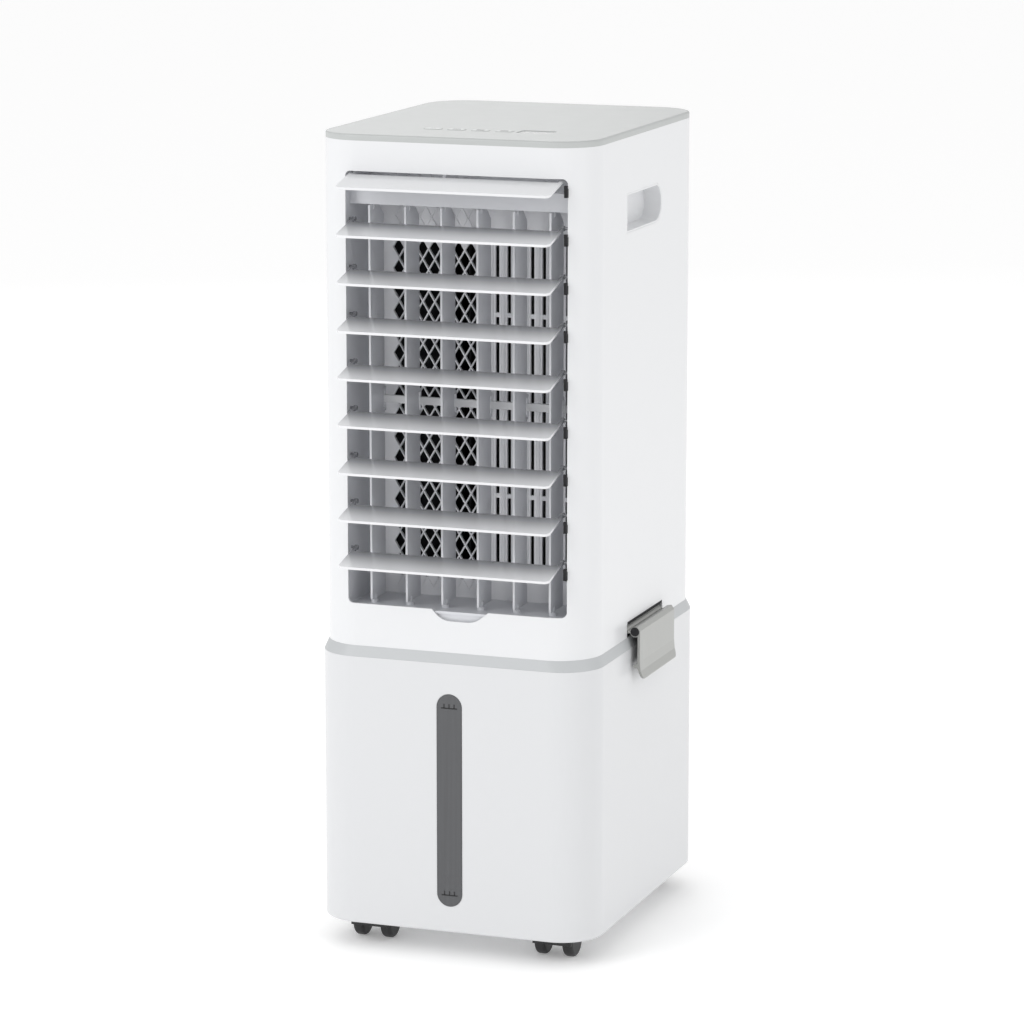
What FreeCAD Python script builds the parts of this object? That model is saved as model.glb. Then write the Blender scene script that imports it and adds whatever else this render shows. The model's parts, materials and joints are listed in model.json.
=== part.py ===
import FreeCAD, Part
import math
import os
import types

import Sketcher

# Evaporative tower cooler: a water tank on casters, a blower head that lifts off it, a hanging
# pump, a wetted pad behind the rear grille, and an outlet with turning louvers and vanes.
#
# Millimetres, +Z up. The casing is drawn about its own centre line with z = 0 at the lower edge
# of the tank; every sub-part is then placed so that the floor is z = 0 and the origin lies under
# the middle of the whole object, louvers included.

Vector = FreeCAD.Vector
doc = FreeCAD.newDocument("TowerCooler")
sheet = doc.addObject("Spreadsheet::Sheet", "dims")

DIMENSIONS = (
    # casing
    ("head_width", 270.0), ("head_depth", 334.0), ("head_corner", 42.0),
    ("head_bottom", 269.5), ("lid_bottom", 744.0), ("lid_top", 750.0), ("shell_wall", 2.5),
    ("seam_back", 143.0),
    ("tank_width", 277.0), ("tank_depth", 341.0), ("tank_corner", 41.0), ("tank_top", 259.5),
    ("tank_wall", 3.0), ("skirt_height", 32.0), ("floor_drop", 25.0),
    ("rim_width", 6.0),
    # level window in the tank's front
    ("window_width", 25.0), ("window_low", 25.4), ("window_high", 230.5),
    # outlet in the front of the head
    ("outlet_left", -102.4), ("outlet_right", 112.9), ("outlet_low", 310.0),
    ("outlet_high", 716.0), ("outlet_corner", 5.0), ("duct_side_gap", 1.0),
    ("duct_gap", 2.0), ("duct_back", -100.0),
    # horizontal louvers
    ("louver_pitch", 44.2), ("louver_low", 360.6), ("louver_hinge", -154.5),
    ("louver_reach", 45.2), ("louver_root", 10.4), ("louver_thick", 2.6),
    ("louver_left", -100.0), ("louver_right", 107.6), ("louver_tilt", 14.0),
    ("louver_pin", 1.4), ("crank_arm", 9.0), ("crank_pin", 1.5),
    # vertical vanes
    ("vane_centre", 5.4), ("vane_pitch", 35.4), ("vane_front", -155.5), ("vane_hinge", -146.5),
    ("vane_back", -121.5), ("vane_thick", 2.0), ("vane_low", 312.0), ("vane_high", 683.4),
    ("vane_pin", 2.0), ("vane_link_pin", -119.5), ("vane_link_low", 494.0),
    ("vane_link_high", 501.0), ("header_low", 684.0), ("header_front", -151.0),
    ("header_top", 701.0),
    # blower
    ("blower_x", 5.0), ("blower_y", -20.0), ("wheel_outer", 58.0), ("wheel_inner", 46.0),
    ("wheel_low", 324.0), ("wheel_high", 699.0), ("shaft_radius", 4.0),
    ("casing_low", 318.0), ("casing_high", 705.0), ("scroll_inner", 66.0),
    # wet side
    ("pad_half", 96.0), ("pad_front", 118.0), ("pad_back", 148.0), ("pad_low", 321.0),
    ("pad_high", 697.0), ("pump_x", -60.0), ("pump_y", 66.0), ("pump_radius", 22.0),
    ("hose_radius", 4.0), ("hose_bend", 18.0),
    # rear grille
    ("grille_half", 97.0), ("grille_low", 326.2), ("grille_high", 698.8),
    ("grille_hinge_y", 161.0), ("grille_hinge_z", 331.0),
    # latches
    ("latch_front", -51.0), ("latch_rear", 55.0), ("latch_hinge_x", 129.5),
    ("latch_hinge_z", 277.0), ("latch_slot_high", 281.5),
    # carrying handles
    ("handle_front", -59.0), ("handle_rear", 47.0), ("handle_low", 655.0),
    ("handle_high", 692.0), ("handle_depth", 19.5),
    # casters
    ("caster_x", 92.0), ("caster_front", -132.0), ("caster_rear", 128.0), ("caster_trail", 8.0),
    ("caster_wheel", 16.0), ("caster_half", 19.5), ("tyre_width", 11.0), ("stem_radius", 4.0),
    ("axle_radius", 2.0),
    # keys and display in the lid
    ("key_first", -41.0), ("key_pitch", 23.5), ("key_y", -100.0), ("key_width", 17.0),
    ("key_depth", 11.0), ("key_corner", 4.0), ("lid_skin", 2.5),
    # fits
    ("running_fit", 0.06), ("key_fit", 0.25),
)


class Size:
    """A length with its value in millimetres and the sheet expression that gives it."""

    def __init__(self, value, text):
        self.value = float(value)
        self.text = text

    def __add__(self, other):
        other = size(other)
        return Size(self.value + other.value, f"({self.text} + {other.text})")

    def __radd__(self, other):
        return size(other) + self

    def __sub__(self, other):
        other = size(other)
        return Size(self.value - other.value, f"({self.text} - {other.text})")

    def __rsub__(self, other):
        return size(other) - self

    def __mul__(self, factor):
        return Size(self.value * factor, f"({self.text} * {factor})")

    __rmul__ = __mul__

    def __truediv__(self, divisor):
        return Size(self.value / divisor, f"({self.text} / {divisor})")

    def __neg__(self):
        return Size(-self.value, f"(-1 * {self.text})")


def size(number):
    return number if isinstance(number, Size) else Size(number, f"({float(number):.6f})")


def fill_sheet():
    """Write the driving dimensions, and give them back as named sizes."""
    named = {}
    for row, (alias, value) in enumerate(DIMENSIONS, start=1):
        sheet.set(f"A{row}", alias.replace("_", " "))
        sheet.set(f"B{row}", str(value))
        sheet.setAlias(f"B{row}", alias)
        named[alias] = Size(value, f"dims.{alias}")
    doc.recompute()
    return types.SimpleNamespace(**named)


d = fill_sheet()

# What follows from the driving dimensions.
head_x = d.head_width / 2
head_y = d.head_depth / 2
tank_x = d.tank_width / 2
tank_y = d.tank_depth / 2
louver_tip = (d.louver_reach.value * math.cos(math.radians(d.louver_tilt.value))
              + 0.5 * d.louver_thick.value * math.sin(math.radians(d.louver_tilt.value)))
datum_y = (-d.louver_hinge + louver_tip - tank_y) / 2
LOUVERS = 9
VANES = 6
KEYS = 4

subparts = []


# ---------------------------------------------------------------- drawing and feature helpers

def bind(target, prop, length):
    target.setExpression(prop, size(length).text)


def place(target):
    """Stand a finished sub-part in the object's own frame."""
    bind(target, "Placement.Base.y", datum_y)
    bind(target, "Placement.Base.z", d.floor_drop)


def new_body(label):
    body = doc.addObject("PartDesign::Body", label)
    body.Label = label
    place(body)
    subparts.append(body)
    return body


def origin_feature(body, role):
    for feature in body.Origin.OriginFeatures:
        if feature.Role == role:
            return feature
    raise ValueError(role)


PLANES = {"X": "YZ_Plane", "Y": "XZ_Plane", "Z": "XY_Plane"}


def new_sketch(body, axis, offset):
    """A sketch square to X, Y or Z; on Y its own normal runs towards -Y."""
    sketch = body.newObject("Sketcher::SketchObject", body.Name + "_sketch")
    sketch.AttachmentSupport = [(origin_feature(body, PLANES[axis]), "")]
    sketch.MapMode = "FlatFace"
    bind(sketch, "AttachmentOffset.Base.z", offset)
    return sketch


def extrude(body, axis, drawing, low, high, kind):
    low, high = size(low), size(high)
    if axis == "Y":
        low, high = -high, -low
    sketch = new_sketch(body, axis, low if kind == "Pad" else high)
    drawing(sketch)
    before = body.Shape.Volume if body.Tip else 0.0
    feature = body.newObject("PartDesign::" + kind, body.Name + "_" + kind.lower())
    feature.Profile = sketch
    feature.Type = "Length"
    bind(feature, "Length", high - low)
    doc.recompute()
    change = feature.Shape.Volume - before
    if (change <= 0) if kind == "Pad" else (change >= 0):
        raise RuntimeError(f"{feature.Name} changes {body.Label} by {change:.1f} mm3")
    return feature


def add(body, axis, drawing, low, high):
    return extrude(body, axis, drawing, low, high, "Pad")


def cut(body, axis, drawing, low, high):
    return extrude(body, axis, drawing, low, high, "Pocket")


def dimension(sketch, name, kind, *items):
    *places, length = items
    length = size(length)
    index = sketch.addConstraint(Sketcher.Constraint(kind, *places, length.value))
    sketch.renameConstraint(index, f"{name}_{index}")
    sketch.setExpression(f"Constraints.{name}_{index}", length.text)


def from_origin(sketch, name, geo, point, x, y):
    """Fix a point by its distances from the sketch's origin."""
    for axis, kind, length in (("x", "DistanceX", x), ("y", "DistanceY", y)):
        dimension(sketch, f"{name}_{axis}", kind, -1, 1, geo, point, length)


def rectangle(left, right, low, high, corner=None):
    """A rectangle, its corners rounded where a radius is given."""
    left, right, low, high = size(left), size(right), size(low), size(high)

    def draw(sketch):
        r = size(corner).value if corner is not None else 0.0
        x0, x1, y0, y1 = left.value, right.value, low.value, high.value
        spans = (((x0 + r, y0), (x1 - r, y0)), ((x1, y0 + r), (x1, y1 - r)),
                 ((x1 - r, y1), (x0 + r, y1)), ((x0, y1 - r), (x0, y0 + r)))
        lines = [sketch.addGeometry(Part.LineSegment(Vector(*a, 0), Vector(*b, 0)), False)
                 for a, b in spans]
        if r:
            centres = ((x1 - r, y0 + r), (x1 - r, y1 - r), (x0 + r, y1 - r), (x0 + r, y0 + r))
            arcs = []
            for turn, (cx, cy) in enumerate(centres):
                circle = Part.Circle(Vector(cx, cy, 0), Vector(0, 0, 1), r)
                start = math.radians(-90 + 90 * turn)
                arc = Part.ArcOfCircle(circle, start, start + math.pi / 2)
                arcs.append(sketch.addGeometry(arc, False))
            for turn in range(4):
                sketch.addConstraint(
                    Sketcher.Constraint("Tangent", lines[turn], 2, arcs[turn], 1))
                sketch.addConstraint(
                    Sketcher.Constraint("Tangent", arcs[turn], 2, lines[(turn + 1) % 4], 1))
            for turn in range(3):
                sketch.addConstraint(Sketcher.Constraint("Equal", arcs[turn], arcs[turn + 1]))
            dimension(sketch, "corner", "Radius", arcs[0], corner)
        else:
            for turn in range(4):
                sketch.addConstraint(
                    Sketcher.Constraint("Coincident", lines[turn], 2, lines[(turn + 1) % 4], 1))
        for turn, kind in enumerate(("Horizontal", "Vertical", "Horizontal", "Vertical")):
            sketch.addConstraint(Sketcher.Constraint(kind, lines[turn]))
        dimension(sketch, "low", "DistanceY", -1, 1, lines[0], 1, low)
        dimension(sketch, "right", "DistanceX", -1, 1, lines[1], 1, right)
        dimension(sketch, "high", "DistanceY", -1, 1, lines[2], 1, high)
        dimension(sketch, "left", "DistanceX", -1, 1, lines[3], 1, left)

    return draw


def circles(centres, radius):
    """Circles of one radius."""
    def draw(sketch):
        for number, (x, y) in enumerate(centres, start=1):
            x, y = size(x), size(y)
            ring = Part.Circle(Vector(x.value, y.value, 0), Vector(0, 0, 1), size(radius).value)
            index = sketch.addGeometry(ring, False)
            from_origin(sketch, f"centre{number}", index, 3, x, y)
            dimension(sketch, f"radius{number}", "Radius", index, radius)

    return draw


def circle(x, y, radius):
    return circles(((x, y),), radius)


def outline(points, corner=0.0):
    """A closed outline through points, each a plain pair, with rounded corners."""
    def draw(sketch):
        corners = []
        count = len(points)
        for index in range(count):
            here = Vector(*points[index], 0)
            back = Vector(*points[index - 1], 0) - here
            ahead = Vector(*points[(index + 1) % count], 0) - here
            half = back.getAngle(ahead) / 2
            trim = corner / math.tan(half) if corner else 0.0
            trim = min(trim, 0.45 * back.Length, 0.45 * ahead.Length)
            enter = here + back.normalize() * trim
            leave = here + ahead.normalize() * trim
            middle = here
            if trim > 0.01 and half < math.radians(89.5):
                radius = trim * math.tan(half)
                bisector = (back + ahead).normalize()
                middle = here + bisector * (radius / math.sin(half) - radius)
            corners.append((enter, middle, leave, trim > 0.01 and half < math.radians(89.5)))
        for index, (enter, middle, leave, rounded) in enumerate(corners):
            if rounded:
                arc = Part.Arc(enter, middle, leave)
                sketch.addGeometry(arc, False)
            following = corners[(index + 1) % count][0]
            start = leave if rounded else Vector(*points[index], 0)
            stop = following if corners[(index + 1) % count][3] else \
                Vector(*points[(index + 1) % count], 0)
            if (stop - start).Length > 1e-6:
                sketch.addGeometry(Part.LineSegment(start, stop), False)

    return draw


def several(*drawings):
    def draw(sketch):
        for drawing in drawings:
            drawing(sketch)

    return draw


def plain_rectangles(boxes):
    """Many rectangles at worked-out places: (left, right, low, high) each."""
    def draw(sketch):
        for left, right, low, high in boxes:
            outline(((left, low), (right, low), (right, high), (left, high)))(sketch)

    return draw


def values(*sizes):
    return [size(item).value for item in sizes]


def round_edges(body, chosen, radius):
    """Round the edges of the finished shape that a test picks out."""
    doc.recompute()
    base = body.Tip
    names = [f"Edge{index}" for index, edge in enumerate(base.Shape.Edges, start=1)
             if chosen(edge)]
    if not names:
        raise RuntimeError("no edge to round on " + body.Label)
    fillet = body.newObject("PartDesign::Fillet", body.Name + "_fillet")
    fillet.Base = (base, names)
    bind(fillet, "Radius", radius)
    doc.recompute()
    return fillet


def level(edge, height, slack=0.01):
    """True where an edge lies flat at a height of its own body."""
    box = edge.BoundBox
    return abs(box.ZMin - height) < slack and abs(box.ZMax - height) < slack


def shape_part(label, shape):
    """A sub-part whose shape is worked out from the sheet's sizes."""
    part = doc.addObject("Part::Feature", label)
    part.Label = label
    part.Shape = shape
    part.Placement = FreeCAD.Placement(Vector(0, 0, 0), FreeCAD.Rotation())
    place(part)
    subparts.append(part)
    return part


def casing_outline(half_x, half_y, corner):
    return rectangle(-half_x, half_x, -half_y, half_y, corner)


def casing_half_outline(half_x, half_y, corner):
    """The front half of the casing's outline, closed straight across just ahead of its middle."""
    x, y, r = values(half_x, half_y, corner)
    lean = r * (1 - math.sqrt(0.5))

    def draw(sketch):
        a, b = Vector(-x, -1, 0), Vector(-x, r - y, 0)
        c, e = Vector(r - x, -y, 0), Vector(x - r, -y, 0)
        f, g = Vector(x, r - y, 0), Vector(x, -1, 0)
        left = Part.Arc(b, Vector(lean - x, lean - y, 0), c)
        right = Part.Arc(e, Vector(x - lean, lean - y, 0), f)
        for edge in (Part.LineSegment(a, b), left, Part.LineSegment(c, e), right,
                     Part.LineSegment(f, g), Part.LineSegment(g, a)):
            sketch.addGeometry(edge, False)

    return draw


# ---------------------------------------------------------------- tank and casters

GLAND_X = 70.0
GLAND_Z = 294.0
DISPLAY = (42.5, 76.0, -107.0, -84.0)
CASTERS = (("1", -1, d.caster_front), ("2", 1, d.caster_front),
           ("3", -1, d.caster_rear), ("4", 1, d.caster_rear))
HUB_RADIUS = 4.5
HOOD_LIFT = 7.0
STEM_LOW = 12.0
STEM_HIGH = 30.0
DRAIN_X = 40.0
DRAIN_Y = 90.0
CATCH_LOW = 247.0
CATCH_HIGH = 250.0
FLOOR_THICK = 3.0


def make_tank():
    body = new_body("tank")
    add(body, "Z", casing_outline(tank_x, tank_y, d.tank_corner), 0, d.tank_top)
    inner = casing_outline(tank_x - d.tank_wall, tank_y - d.tank_wall,
                           d.tank_corner - d.tank_wall)
    cut(body, "Z", inner, d.skirt_height + FLOOR_THICK, d.tank_top)
    inner = casing_outline(tank_x - d.tank_wall, tank_y - d.tank_wall,
                           d.tank_corner - d.tank_wall)
    cut(body, "Z", inner, 0, d.skirt_height)
    stems = [(side * d.caster_x, y) for _, side, y in CASTERS]
    add(body, "Z", circles(stems, 9.0), STEM_LOW, d.skirt_height)
    cut(body, "Z", circles(stems, d.stem_radius + d.running_fit), STEM_LOW, STEM_HIGH + 0.5)
    pill = rectangle(-d.window_width / 2, d.window_width / 2, d.window_low, d.window_high,
                     d.window_width / 2 - 0.01)
    cut(body, "Y", pill, -tank_y, d.tank_wall - tank_y)
    cut(body, "Z", circle(DRAIN_X, DRAIN_Y, 8.2), d.skirt_height, d.skirt_height + FLOOR_THICK)
    edge_x, front, rear = values(tank_x, d.latch_front, d.latch_rear)
    for side in (-1, 1):
        scoop = [(side * (edge_x + across), up) for across, up in
                 ((1.0, 219.0), (-1.8, 236.0), (-1.8, 244.0), (1.0, 244.0))]
        cut(body, "Y", outline(scoop), front + 6, rear - 6)
        catch = [(side * (edge_x + across), up) for across, up in
                 ((-0.5, CATCH_LOW), (2.0, CATCH_LOW), (2.0, CATCH_LOW + 1.0),
                  (-0.5, CATCH_HIGH + 2.0))]
        add(body, "Y", outline(catch), -18.0, 22.0)
    outer = values(tank_x)[0] - 1.0

    def lower_rim(edge):
        box = edge.BoundBox
        far = max(abs(box.XMin), abs(box.XMax)) > outer
        return level(edge, 0.0) and (far or max(abs(box.YMin), abs(box.YMax))
                                     > tank_y.value - 1.0)

    round_edges(body, lower_rim, 2.2)
    return body


def make_rim_band():
    """The sloping rim that carries the head: tank outline below, head outline above."""
    body = new_body("rim_band")
    below = new_sketch(body, "Z", d.tank_top)
    casing_outline(tank_x, tank_y, d.tank_corner)(below)
    above = new_sketch(body, "Z", d.head_bottom)
    casing_outline(head_x, head_y, d.head_corner)(above)
    loft = body.newObject("PartDesign::AdditiveLoft", "rim_band_loft")
    loft.Profile = below
    loft.Sections = [above]
    doc.recompute()
    hole = casing_outline(tank_x - d.rim_width, tank_y - d.rim_width,
                          d.tank_corner - d.rim_width)
    cut(body, "Z", hole, d.tank_top, d.head_bottom)
    return body


def make_level_window():
    body = new_body("level_window")
    half = d.window_width / 2
    proud = 0.4
    add(body, "Y", rectangle(-half, half, d.window_low, d.window_high, half - 0.01),
        -tank_y - proud, d.tank_wall - tank_y)
    add(body, "Y", rectangle(-half - 3, half + 3, 36.0, d.window_high + 3, 8.0),
        d.tank_wall - tank_y, d.tank_wall - tank_y + 1.5)
    return body


def make_drain_plug():
    body = new_body("drain_plug")
    floor_top = d.skirt_height + FLOOR_THICK
    add(body, "Z", circle(DRAIN_X, DRAIN_Y, 8.0), d.skirt_height - 0.5, floor_top + 1.0)
    add(body, "Z", circle(DRAIN_X, DRAIN_Y, 12.0), d.skirt_height - 2.5, d.skirt_height - 0.5)
    add(body, "Z", rectangle(DRAIN_X - 8, DRAIN_X + 8, DRAIN_Y - 2, DRAIN_Y + 2, 1.5),
        d.skirt_height - 10, d.skirt_height - 2.5)
    return body


def make_caster(number, side, swivel_y):
    swivel_x = side * d.caster_x
    axle_y = swivel_y + d.caster_trail
    axle_z = d.caster_wheel - d.floor_drop
    inner = d.caster_half - d.tyre_width
    gap = 0.4
    fork = new_body(f"caster_{number}_fork")
    left, right = swivel_x - inner + gap, swivel_x + inner - gap
    add(fork, "X", circle(axle_y, axle_z, HUB_RADIUS), left, right)
    add(fork, "X", rectangle(axle_y - 15, axle_y + 1, axle_z, 8.0, 2.0), left, right)
    hood = several(circle(axle_y, axle_z, d.caster_wheel + 3), circle(axle_y, axle_z,
                                                                      d.caster_wheel + 1))
    add(fork, "X", hood, swivel_x - d.caster_half, swivel_x + d.caster_half)
    y0, z0 = values(axle_y, axle_z)
    for low, high in ((swivel_x - d.caster_half, left), (right, swivel_x + d.caster_half)):
        cut(fork, "X", rectangle(y0 - 30, y0 + 30, z0 - 30, z0 + HOOD_LIFT), low, high)
    cut(fork, "X", rectangle(y0 - 30, y0 - 15, z0 - 30, z0 + HOOD_LIFT), left, right)
    cut(fork, "X", rectangle(y0 + 4.6, y0 + 30, z0 - 30, z0 + HOOD_LIFT), left, right)
    cut(fork, "X", rectangle(y0 - 30, y0 + 30, z0 - 30, z0 - HUB_RADIUS), left, right)
    add(fork, "X", rectangle(y0 - 12, y0 + 12, z0 + 9, z0 + d.caster_wheel + 2),
        left, right)
    add(fork, "Z", circle(swivel_x, swivel_y, 6.0), 6.0, STEM_LOW - 0.4)
    add(fork, "Z", circle(swivel_x, swivel_y, d.stem_radius), 6.0, STEM_HIGH)
    cut(fork, "X", circle(axle_y, axle_z, d.axle_radius + d.running_fit), left, right)
    wheels = new_body(f"caster_{number}_wheels")
    add(wheels, "X", circle(axle_y, axle_z, d.caster_wheel),
        swivel_x - d.caster_half + 0.2, swivel_x - inner)
    add(wheels, "X", circle(axle_y, axle_z, d.axle_radius), swivel_x - inner - 1,
        swivel_x + inner + 1)
    add(wheels, "X", circle(axle_y, axle_z, d.caster_wheel), swivel_x + inner,
        swivel_x + d.caster_half - 0.2)
    radius = d.caster_wheel.value

    def tread_edge(edge):
        return edge.Curve.TypeId == "Part::GeomCircle" and abs(edge.Curve.Radius - radius) < 0.01

    round_edges(wheels, tread_edge, 3.2)


# ---------------------------------------------------------------- casing of the head

def make_shell_blank(label):
    body = new_body(label)
    add(body, "Z", casing_outline(head_x, head_y, d.head_corner), d.head_bottom, d.lid_bottom)
    inside = casing_outline(head_x - d.shell_wall, head_y - d.shell_wall,
                            d.head_corner - d.shell_wall)
    cut(body, "Z", inside, d.head_bottom, d.lid_bottom)
    return body


def handle_outline(grow=0.0):
    """Square at the front end, round at the rear end."""
    front, rear, low, high = values(d.handle_front, d.handle_rear, d.handle_low, d.handle_high)
    radius = (high - low) / 2
    middle = (high + low) / 2
    centre = rear - radius

    def draw(sketch):
        big = radius + grow
        a, b = Vector(front - grow, middle - big, 0), Vector(centre, middle - big, 0)
        c, e = Vector(centre, middle + big, 0), Vector(front - grow, middle + big, 0)
        sketch.addGeometry(Part.LineSegment(a, b), False)
        sketch.addGeometry(Part.Arc(b, Vector(centre + big, middle, 0), c), False)
        sketch.addGeometry(Part.LineSegment(c, e), False)
        sketch.addGeometry(Part.LineSegment(e, a), False)

    return draw


CURVE_DEPTH = 14.0
SCREW_X = 106.0
SCREW_Z = (300.0, 722.0)


def make_front_shell():
    body = make_shell_blank("front_shell")
    cut(body, "Z", rectangle(-head_x - 1, head_x + 1, d.seam_back, head_y + 1),
        d.head_bottom, d.lid_bottom)
    front_low, front_high = -head_y - 1, d.shell_wall - head_y + 1
    cut(body, "Y", rectangle(d.outlet_left, d.outlet_right, d.outlet_low, d.outlet_high,
                             d.outlet_corner), front_low, front_high + CURVE_DEPTH)
    low = d.outlet_low.value
    notch = ((-25.6, low + 8), (-9.0, low - 10.6), (24.0, low - 10.6), (47.4, low + 8))
    cut(body, "Y", outline(notch, 20.0), front_low, front_high)
    front, rear = values(d.latch_front - 1, d.latch_rear + 1)
    for side in (-1, 1):
        low_x, high_x = sorted(values(side * (head_x - d.shell_wall - 1), side * (head_x + 1)))
        cut(body, "X", handle_outline(), low_x, high_x)
        cut(body, "X", rectangle(front, rear, d.head_bottom - 1, d.latch_slot_high),
            low_x, high_x)
        for up in SCREW_Z:
            tab = rectangle(min(side * 98.0, side * 132.6), max(side * 98.0, side * 132.6),
                            up - 7, up + 7)
            add(body, "Y", tab, 100.0, 104.0)
            cut(body, "Y", circle(side * SCREW_X, up, 1.5), 100.0, 104.0)
    return body


def make_rear_shell():
    body = make_shell_blank("rear_shell")
    cut(body, "Z", rectangle(-head_x - 1, head_x + 1, -head_y - 1, d.seam_back),
        d.head_bottom, d.lid_bottom)
    inner = head_y - d.shell_wall
    cut(body, "Y", rectangle(-d.grille_half - 1, d.grille_half + 1, d.grille_low - 3,
                             d.grille_high + 1, 5.0), inner - 1, head_y + 1)
    for side in (-1, 1):
        for up in SCREW_Z:
            add(body, "Y", circle(side * SCREW_X, up, 5.2), 104.0, inner + 0.5)
            cut(body, "Y", circle(side * SCREW_X, up, 3.4), 110.0, head_y)
            cut(body, "Y", circle(side * SCREW_X, up, 1.8), 104.0, 110.0)
        lug_in = d.grille_half.value + 1.4
        near, far = sorted((side * lug_in, side * (lug_in + 3.0)))
        lug = rectangle(d.grille_hinge_y - 4, inner + 0.5, d.grille_hinge_z - 4,
                        d.grille_hinge_z + 4)
        add(body, "X", lug, near, far)
        cut(body, "X", circle(d.grille_hinge_y, d.grille_hinge_z, 1.8 + 0.06), near, far)
    cut(body, "Y", circle(GLAND_X, GLAND_Z, 7.0), inner - 1, head_y + 1)
    return body




def make_power_gland():
    """The cord's bush in the rear shell, with its bore open."""
    body = new_body("power_gland")
    inner = head_y - d.shell_wall
    add(body, "Y", circle(GLAND_X, GLAND_Z, 7.0), inner - 1, head_y)
    add(body, "Y", circle(GLAND_X, GLAND_Z, 9.5), head_y, head_y + 2.4)
    add(body, "Y", circle(GLAND_X, GLAND_Z, 9.0), inner - 3, inner - 1)
    cut(body, "Y", circle(GLAND_X, GLAND_Z, 3.6), inner - 3, head_y + 2.4)
    return body


def make_head_base():
    """The floor of the head: it carries the blower, the pump and the latches' lugs."""
    body = new_body("head_base")
    low, high = 271.0, 274.0
    gap = d.shell_wall + 0.3
    add(body, "Z", casing_outline(head_x - gap, head_y - gap, d.head_corner - gap), low, high)
    front, rear = values(d.latch_front, d.latch_rear)
    hinge_x, hinge_z = d.latch_hinge_x, d.latch_hinge_z
    for side in (-1, 1):
        near, far = sorted((side * 122.0, side * 134.0))
        cut(body, "Z", rectangle(near, far, front - 0.6, rear + 0.6), low, high)
        near, far = sorted((side * 124.5, side * 131.9))
        for y0 in (front - 7.0, rear + 1.0):
            add(body, "Z", rectangle(near, far, y0, y0 + 6), high - 0.5, hinge_z + 4)
            cut(body, "Y", circle(side * hinge_x, hinge_z, LATCH_PIN + d.running_fit), y0, y0 + 6)
    cut(body, "Z", circle(d.pump_x, d.pump_y + 14, d.hose_radius + 2), low, high)
    returns = [(left, left + 50, 112.0, 150.0) for left in (-92.0, -25.0, 42.0)]
    cut(body, "Z", plain_rectangles(returns), low, high)
    return body


def make_top_cover():
    body = new_body("top_cover")
    add(body, "Z", casing_outline(head_x, head_y, d.head_corner), d.lid_bottom, d.lid_top)
    lip = casing_outline(head_x - d.shell_wall - 0.2, head_y - d.shell_wall - 0.2,
                         d.head_corner - d.shell_wall - 0.2)
    add(body, "Z", lip, d.lid_bottom - 5, d.lid_bottom)
    hollow = casing_outline(head_x - d.shell_wall - 2.7, head_y - d.shell_wall - 2.7,
                            d.head_corner - d.shell_wall - 2.7)
    cut(body, "Z", hollow, d.lid_bottom - 5, d.lid_top - d.lid_skin)
    half_x, half_y = values(d.key_width / 2 + d.key_fit, d.key_depth / 2 + d.key_fit)
    for number in range(KEYS):
        x, y = values(d.key_first + d.key_pitch * number, d.key_y)
        cut(body, "Z", rectangle(x - half_x, x + half_x, y - half_y, y + half_y,
                                 d.key_corner), d.lid_top - d.lid_skin, d.lid_top)
    cut(body, "Z", rectangle(*DISPLAY, 3.0), d.lid_top - d.lid_skin, d.lid_top)
    top = d.lid_top.value
    reach_x, reach_y = values(head_x, head_y)

    def rim(edge):
        box = edge.BoundBox
        outside = max(abs(box.XMax), abs(box.XMin)) > reach_x - 1 \
            or max(abs(box.YMin), abs(box.YMax)) > reach_y - 1
        return level(edge, top) and outside

    round_edges(body, rim, 2.0)
    return body




def make_handle_cups():
    """Two recessed grips, one in each side of the head, as one group."""
    cups = []
    inner_x = (head_x - d.shell_wall).value
    for side in (-1, 1):
        body = doc.addObject("PartDesign::Body", "handle_cup")
        mouth = side * (inner_x + d.shell_wall.value)
        back = side * (inner_x + d.shell_wall.value - d.handle_depth.value)
        flange = side * (inner_x - 1.6)
        low, high = sorted((back, mouth))
        add(body, "X", handle_outline(), low, high)
        low, high = sorted((flange, side * inner_x))
        add(body, "X", handle_outline(4.0), low, high)
        low, high = sorted((back + side * 2.0, mouth))
        cut(body, "X", handle_outline(-2.0), low, high)
        cups.append(body)
    group = doc.addObject("Part::Compound", "handle_cups")
    group.Label = "handle_cups"
    group.Links = cups
    place(group)
    doc.recompute()
    subparts.append(group)


def make_casing_screws():
    head_r, shank_r = 2.8, 1.45
    screws = []
    for side in (-1, 1):
        for up in SCREW_Z:
            start = Vector(side * SCREW_X, 110.0, up)
            head = Part.makeCylinder(head_r, 2.2, start, Vector(0, 1, 0))
            shank = Part.makeCylinder(shank_r, 18.0, start, Vector(0, -1, 0))
            slot = Part.makeBox(4.0, 1.2, 0.8, start + Vector(-2.0, 1.2, -0.4))
            screws.append(head.fuse(shank).cut(slot))
    shape_part("casing_screws", Part.makeCompound(screws))


# ---------------------------------------------------------------- outlet, louvers and vanes

duct_left = d.outlet_left - d.duct_side_gap
duct_right = d.outlet_right + d.duct_side_gap
duct_low = d.outlet_low - d.duct_gap
duct_high = d.outlet_high + d.duct_gap
DUCT_WALL = 2.5
HEADER_WALL = 2.5
DRIVEN_VANE = 3
CRANK_THICK = 2.5
LINK_THICK = 2.0
crank_x = duct_left - DUCT_WALL - 0.4
link_x = crank_x - CRANK_THICK - 0.4


def louver_height(number):
    return d.louver_low + d.louver_pitch * (LOUVERS - number)


def vane_x(number):
    return d.vane_centre + d.vane_pitch * (number - (VANES + 1) / 2)


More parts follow.
